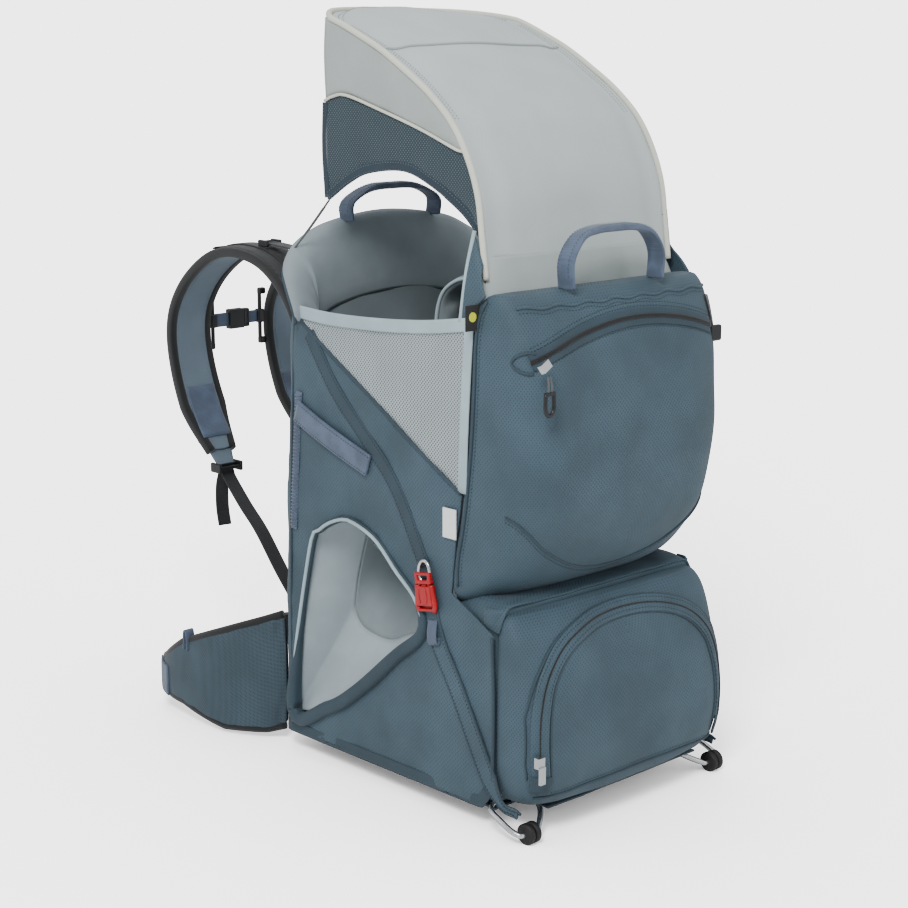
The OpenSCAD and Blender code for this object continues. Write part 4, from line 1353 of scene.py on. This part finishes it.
def harness(m):
    for sign, side in SIDES:
        count = 90
        route = smooth_line([(sign * STRAP_X, y, z) for y, z in STRAP_LINE], count)
        mid = (0, 400, 440)
        out = unit(np.cross(unit(np.gradient(route, axis=0)), (1, 0, 0)))
        out *= np.sign(np.sum(out * (route - mid), axis=1, keepdims=True))
        fade = []
        for i in range(count):
            t = i / (count - 1)
            tip = min(1, 0.55 + 0.45 * min(1, (1 - t) / 0.12))
            fade.append((tip * (1 - 0.10 * math.sin(math.pi * t)), min(1, 0.5 + t * 8, 0.4 + (1 - t) * 9)))
        outer = sweep(f"strap_foam_{side}", route + out * 2.6, (1, 0, 0),
                      round_section(STRAP_W - 4, 8.5, 4, 26), m["pad_mesh"], scale=fade)
        pad(outer, 2, 5)
        settle(outer, "harness", [f"shoulder_strap_{side}"])
        inner = sweep(f"strap_lining_{side}", route - out * 3.4, (1, 0, 0),
                      round_section(STRAP_W - 14, 5.4, 4, 26), m["strap_face"], scale=fade)
        rounded(inner)
        settle(inner, "harness")
        for edge in (-1, 1):
            rim = [p + np.array((edge * (STRAP_W / 2 - 5) * f[0], 0, 0)) - n * 0.8
                   for p, n, f in zip(route, out, fade)]
            settle(flat_strip(f"strap_edge_{side}_{edge + 2}", rim, out, 10, 12, m["edge"]), "harness")
            THREAD.sew("harness", [p + np.array((-edge * 8, 0, 0)) - n * 5.6 for p, n in zip(rim, out)])
        spine = route[12:-8] + out[12:-8] * 8.0
        settle(flat_strip(f"strap_spine_{side}", spine, out[12:-8], 22, 2, m["black_tape"]), "harness")
        for t in (0.42, 0.5, 0.58, 0.66):
            i = int(t * count)
            bar = [route[i] + out[i] * 8.8 + np.array((x, 0, 0)) for x in np.linspace(-22, 22, 6)]
            settle(flat_strip(f"strap_bar_{side}_{i}", bar, out[i], 7, 1.8, m["black_tape"]), "harness")
        for lift, name in ((6.6, "outer"), (-6.2, "inner")):
            patch = flat_strip(f"strap_tip_{name}_{side}", route[-16:-3] + out[-16:-3] * lift, out[-16:-3],
                               46, 3, m["tape"])
            settle(patch, "harness")

        tab = smooth_line([(sign * STRAP_X, 482, 342), (sign * STRAP_X, 474, 326),
                           (sign * STRAP_X, 466, 314), (sign * STRAP_X, 462, 308)], 16)
        face = unit(np.cross(unit(np.gradient(tab, axis=0)), (1, 0, 0)))
        taper = [(1 - 0.42 * i / 15, 1) for i in range(16)]
        settle(flat_strip(f"strap_tab_{side}", tab, face, 42, 3.2, m["strap_face"], taper), "harness")

        lift = smooth_line([(sign * WEB_X, 244, 604), (sign * WEB_X, 252, 607), (sign * WEB_X, 300, 609),
                            (sign * WEB_X, 360, 613)], 24)
        settle(flat_strip(f"load_lifter_{side}", lift, (0, 0, 1), 20, 2, m["black_tape"]), "harness",
               ["load_lifters"])
        lock = ladder(f"lifter_lock_{side}", sign * WEB_X, 361, 612, 24, 18, 8, m)
        settle(lock, "harness")
        lock = ladder(f"strap_lock_{side}", sign * STRAP_X, 462, 308, 38, 20, 12, m)
        settle(lock, "harness", ["strap_adjusters"])

        tail = smooth_line([(sign * WEB_X, y, z) for y, z in [(470, 318), (462, 302), *WEBBING_LINE]], 60)
        up = unit(np.cross((sign, 0, 0), unit(np.gradient(tail, axis=0))))
        web = flat_strip(f"strap_web_{side}", tail, up, 20, 2, m["black_tape"])
        bridge(web, (0, 258, 140), (0, 458, 300),
               [f"strap_webbing_{side}"])
        free = smooth_line([(sign * WEB_X, 468, 302), (sign * 79, 476, 280), (sign * 78, 478, 250),
                            (sign * 79, 472, 226)], 24)
        settle(flat_strip(f"strap_end_{side}", free, (0, 1, 0), 20, 1.8, m["black_tape"]), "harness")

    rows = []
    for z in np.linspace(431, 519, 30):
        end = min(1, (z - 430) / 10, (520 - z) / 10)
        rows.append([(s, 244 + h * (0.55 + 0.45 * end), z)
                     for s, h in round_section(164 * (0.92 + 0.08 * end), 10, 3.6, 36)])
    plate = stuffed("yoke_pad", rows, m["pad_mesh"])
    settle(plate, "harness", ["yoke"])
    sternum(m)


def ladder(name, x, y, z, wide, deep, tall, m):
    """A ladder-lock adjuster: two cheeks and three cross bars."""
    parts = []
    for k in (-1, 1):
        parts.append(block("cheek", (x + k * (wide / 2 - 2) - 2, y - deep / 2, z - tall / 2),
                           (x + k * (wide / 2 - 2) + 2, y + deep / 2, z + tall / 2), m["black"], mm=1.2))
    for share, lift in ((-0.42, 0), (0.0, 0.2), (0.42, -0.1)):
        cy, cz = y + share * deep, z + lift * tall
        parts.append(block("bar", (x - wide / 2 + 1, cy - 2, cz - 2), (x + wide / 2 - 1, cy + 2, cz + 2),
                           m["black"], mm=0.9))
    return join(name, parts)


def sternum(m):
    z, y = 490, 541
    for sign, side in SIDES:
        rail = tube(f"rail_{side}", [(sign * 40, y, k) for k in np.linspace(453, 527, 20)], 2.3,
                    m["black"], 12)
        feet = [block("foot", (sign * 43.5 - 5, y - 3.4, k), (sign * 43.5 + 5, y + 3.4, k + 8), m["black"],
                      mm=1.6)
                for k in (452, 520)]
        settle(join(f"sternum_rail_{side}", [rail, *feet]), "harness", ["sternum_rails"])
        slide = [block("slide", (sign * 40 - 5.4, y - 4.9, z - 9), (sign * 40 + 5.4, y + 4.9, z + 9),
                       m["black"], mm=2.2)]
        for k in (-5, 0, 5):
            slide.append(block("rib", (sign * 40 - 4, y + 4.4, z + k - 0.9),
                               (sign * 40 + 4, y + 5.8, z + k + 0.9), m["black"], mm=0.5))
        body = "sternum_l" if sign < 0 else "sternum_r"
        settle(join(f"sternum_slide_{side}", slide), body)
    left = [(x, y, z) for x in np.linspace(-36, -10, 12)]
    settle(flat_strip("sternum_web_left", left, (0, 1, 0), 18, 2, m["tape"]), "sternum_l")
    shell = [block("front", (-14, y + 2.8, z - 13), (10, y + 5, z + 13), m["black"], mm=1.6),
             block("rear", (-14, y - 5, z - 13), (10, y - 2.8, z + 13), m["black"], mm=1.6),
             block("bar", (-14, y - 4, z - 13), (-8, y + 4, z + 13), m["black"], mm=1.4)]
    for k in (-1, 1):
        shell.append(block("lip", (-10, y - 4.2, z + k * 11.6 - 1.4), (9, y + 4.2, z + k * 11.6 + 1.4),
                           m["black"], mm=1.1))
    settle(join("sternum_buckle", shell), "sternum_l", ["sternum_left"])
    right = [(x, y, z) for x in np.linspace(18, 37, 10)]
    web = flat_strip("sternum_web_right", right, (0, 1, 0), 16, 2, m["tape"])
    bridge(web, (36, y, z), (19, y, z), ["sternum_right"])
    clip = [block("tongue", (-4, y - 2.2, z - 3), (11, y + 2.2, z + 3), m["black"], mm=1),
            block("bar", (10.4, y - 3.8, z - 12), (13, y + 3.8, z + 12), m["black"], mm=1),
            block("bar", (17, y - 3.8, z - 12), (19.4, y + 3.8, z + 12), m["black"], mm=1)]
    for k in (-1, 1):
        prong = smooth_line([(12, y, z + k * 6), (4, y, z + k * 8), (-3, y, z + k * 7.2),
                             (-4.6, y, z + k * 4.6)], 14)
        clip.append(tube("prong", prong, 1.6, m["black"], 8))
        clip.append(block("cheek", (11, y - 3.6, z + k * 10.8 - 1.4), (19, y + 3.6, z + k * 10.8 + 1.4),
                          m["black"], mm=1))
    settle(join("sternum_tongue", clip), "sternum_m", ["sternum_buckle_male"])


# ---- wearer's back --------------------------------------------------------------------------
def back_parts(m):
    for sign, side in SIDES:
        rows = []
        for z in np.linspace(42, 208, 44):
            end = min(1, (z - 40) / 16, (210 - z) / 16)
            rib = 1 - 0.35 * max(math.exp(-((z - c) / 3.5) ** 2) for c in (82, 125, 168))
            rows.append([(sign * 59.5 + s, 244.5 + h * rib * (0.45 + 0.55 * end), z)
                         for s, h in round_section(91 * (0.86 + 0.14 * end), 18, 3, 36)])
        cushion = stuffed(f"lumbar_cushion_{side}", rows, m["pad_mesh"])
        settle(cushion, "root", ["lumbar_pad"])
        rows = [[(sign * 123 + s, 245 + h, z) for s, h in round_section(31, 17, 3, 28)]
                for z in np.linspace(41, 159, 24)]
        anchor = stuffed(f"belt_anchor_{side}", rows, m["pack_dark"])
        settle(anchor, "root", ["belt_anchors"])
    tapes = [flat_strip(f"tape{k}", [(k, 235.4, z) for z in np.linspace(332, 578, 30)], (0, 1, 0), 18, 2,
                        m["black_tape"])
             for k in (-26, 26)]
    for z in np.arange(342, 576, 24):
        rung = smooth_line([(-35, 236, z), (-18, 237.5, z), (0, 238, z), (18, 237.5, z), (35, 236, z)], 14)
        tapes.append(flat_strip("rung", rung, (0, 1, 0), 12, 2, m["black_tape"]))
    settle(join("torso_tapes", tapes), "root", ["torso_ladder"])


# ---- hip belt -------------------------------------------------------------------------------
BELT_Z = 43
WING_PLAN = [(150, 252), (176, 292), (192, 335), (198, 380), (196, 425), (186, 458), (170, 482)]
WING_SIDE = [(243, 24, 170), (275, 13, 156), (330, 9, 134), (405, 24, 104), (455, 24, 72), (492, 28, 58)]


def hip_belt(m):
    plan = smooth_line(WING_PLAN, 60)
    reach = np.array(WING_SIDE, float)
    for sign, side in SIDES:
        body = f"belt_{side}"
        ahead = unit(np.gradient(plan, axis=0))
        out = np.stack([ahead[:, 1], -ahead[:, 0]], axis=1)
        layers = {}
        for name, offset, thick in (("outer", 3.6, 6.2), ("foam", -2.6, 7.4)):
            rows = []
            for i, ((x, y), n) in enumerate(zip(plan, out)):
                low, high = np.interp(y, reach[:, 0], reach[:, 1]), np.interp(y, reach[:, 0], reach[:, 2])
                end = min(1, 0.35 + i / 6, 0.3 + (59 - i) / 5)
                gather = 1.5 * math.sin(i * 1.9) * max(0, 1 - i / 12)
                row = []
                for s, h in round_section((high - low) * (0.94 + 0.06 * end), thick * end, 3.2, 30):
                    puffed = offset + h + gather * math.cos(s / 9) + crease(i * 9, s, offset, 30, 0.8)
                    row.append((sign * (x + n[0] * puffed), y + n[1] * puffed, (low + high) / 2 + s))
                rows.append(row)
            material = m["pack_flat"] if name == "outer" else m["pad_mesh"]
            layers[name] = stuffed(f"belt_{name}_{side}", rows, material)
        trims = []
        for top in (0, 1):
            rim = []
            for (x, y), n in zip(plan[1:-1], out[1:-1]):
                z = np.interp(y, reach[:, 0], reach[:, 1 + top])
                rim.append((sign * (x + n[0] * 0.6), y + n[1] * 0.6, z + (1 if top else -1) * -0.5))
            trims.append(tube(f"belt_rim_{('low', 'high')[top]}_{side}", rim, 5.4, m["edge"], 10))
        tip = [(sign * (x + n[0] * 7.6), y + n[1] * 7.6, BELT_Z) for (x, y), n in zip(plan, out)][47:59]
        normals = [(sign * n[0], n[1], 0) for n in out[47:59]]
        settle(flat_strip(f"belt_tip_{side}", tip, normals, 40, 3, m["tape"]), body)
        x, y = plan[36]
        top_z = float(np.interp(y, reach[:, 0], reach[:, 2]))
        ring = smooth_line([(sign * (x + 2), y - 4, top_z - 12), (sign * (x + 3), y - 4, top_z + 8),
                            (sign * (x + 2), y, top_z + 14), (sign * (x + 1), y + 4, top_z + 8),
                            (sign * (x + 2), y + 4, top_z - 12)], 24)
        settle(flat_strip(f"belt_hang_loop_{side}", ring,
                          unit(np.cross(unit(np.gradient(ring, axis=0)), (1, 0, 0))), 13, 1.6, m["tape"]),
               body)
        root_end, free_end = (sign * 150, 246, 90), (sign * 168, 290, 90)
        bridge(layers["outer"], root_end, free_end, [f"belt_wing_{side}"])
        for piece in (layers["foam"], *trims):
            bridge(piece, root_end, free_end)
        front = smooth_line([(sign * 168, 487, BELT_Z), (sign * 140, 502, BELT_Z),
                             (sign * 104, 509, BELT_Z), (sign * 50, 512, BELT_Z)], 34)
        ahead3 = unit(np.gradient(front, axis=0))
        facing = unit(np.cross(ahead3, (0, 0, 1)) * -sign)
        settle(flat_strip(f"belt_strap_{side}", front, facing, 38, 2, m["tape"]), body)
        loop = ladder(f"belt_loop_{side}", sign * 120, 507, BELT_Z, 12, 9, 44, m)
        settle(loop, body)

    shell = [block("front", (-60, 516, 20), (-18, 519, 66), m["black"], mm=2),
             block("rear", (-60, 505, 20), (-18, 508, 66), m["black"], mm=2),
             block("bar", (-60, 507, 21), (-52, 517, 65), m["black"], mm=1.6)]
    for z in (22.4, 63.6):
        shell.append(block("lip", (-54, 506, z - 2.2), (-19, 518, z + 2.2), m["black"], mm=1.6))
    settle(join("belt_buckle", shell), "belt_left", ["belt_buckle_female"])
    tongue = [block("bar", (44, 506, 21), (60, 518, 65), m["black"], mm=2.4),
              block("guide", (20, 510, 39), (46, 514, 47), m["black"], mm=1.6)]
    for k in (-1, 1):
        prong = smooth_line([(46, 512, BELT_Z + k * 14), (34, 512, BELT_Z + k * 17),
                             (24, 512, BELT_Z + k * 15), (19, 512, BELT_Z + k * 9)], 18)
        tongue.append(tube("prong", prong, 2.6, m["black"], 8))
    settle(join("belt_tongue", tongue), "belt_right", ["belt_buckle_male"])


# ---- frame, feet and zips -------------------------------------------------------------------
def rear_wire(m):
    hoop = [(138, -125, 54), (138, -97, 240), (138, -96, 562), (135, -96, 576), (129, -96, 582),
            (116, -96, 585)]
    base = [(140, -125, 40), (152, -125, 35), (166, -127, 30), (172, -135, 27), (174, -150, 22),
            (174, -165, 16), (172, -174, 13), (168, -178, 12), (146, -178, 12), (140, -175, 14),
            (130, -168, 19), (120, -158, 25), (111, -142, 28), (104, -130, 28), (92, -125, 28)]
    made = []
    for name, half in (("hoop", hoop), ("base", base)):
        whole = [(-x, y, z) for x, y, z in half] + half[::-1]
        made.append(tube(name, smooth_line(whole, 300), 3, m["wire"], 16))
    settle(join("stand_wire", made), "rear", ["rear_stand"])
    for sign, side in SIDES:
        parts = []
        for x in (149, 158):
            ring = [(sign * (x + 3.5 + dx), -178, 12) for dx in (-3.5, -2.4, 2.4, 3.5)]
            parts.append(sweep("foot", ring, (0, 1, 0), round_section(23.4, 23.4, 2, 28), m["rubber"],
                               scale=[(0.86, 0.86), (1, 1), (1, 1), (0.86, 0.86)]))
        settle(join(f"stand_foot_{side}", parts), "rear", ["front_feet"])


def zips(m):
    grip = []
    for x in (-154.5, -149.5):
        grip.append(tube("cord",
                         smooth_line([(x * 0.5 - 76, -195.5, 521), (x, -197.5, 512), (x, -197, 502)], 12),
                         1.1, m["cord"], 8))
    bow = smooth_line([(-158, -197, 503), (-158.4, -197, 488), (-156, -197, 482), (-152, -197, 480),
                       (-148, -197, 482), (-145.6, -197, 488), (-146, -197, 503)], 30)
    grip.append(tube("bow", bow, 2.3, m["black"], 12))
    grip.append(block("bar", (-160, -199, 501), (-144, -195, 505.4), m["black"], mm=1.6))
    settle(join("zip_pull", grip), "zip_cord", ["daypack_zip_cord"])


def frame_finishes(m):
    """The CAD pieces that stay as they are, each with its own finish."""
    kept = {
        "back_frame": "tube", "frame_crossbars": "tube", "back_feet": "rubber", "hinge_brackets": "alloy",
        "brace_bars_back": "alloy", "brace_mid_rod": "alloy", "brace_bars_front": "alloy",
        "stand_brackets": "alloy",
        "canopy_pivots": "black", "daypack_zip_slider": "alloy", "lower_zip_slider": "alloy",
    }
    for node, material in kept.items():
        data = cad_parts[node].data
        data.materials.clear()
        data.materials.append(m[material])


# ---- the whole pack -------------------------------------------------------------------------
studio()
THREAD = Thread()
finishes = materials()
for build in (frame_finishes, side_panels, mesh_panels, inner_lining, cockpit_rim, back_cover, daypack,
              lower_bag, seat_parts, child_pads, side_webbing, side_buckles, tabs, sunshade, harness,
              back_parts, hip_belt, rear_wire, zips):
    build(finishes)
for key, slot in (("rear", "main_fabric"), ("canopy", "shade_fabric"), ("harness", "pad_mesh"),
                  ("handle_top", "blue_webbing"), ("handle_front", "blue_webbing")):
    dark = key in ("rear", "handle_top", "handle_front")
    settle(THREAD.finish(key, f"stitches_{key}", finishes["dark_thread" if dark else "thread"]), key)
fold_in(THREAD.finish("fold", "stitches_fold", finishes["dark_thread"]))
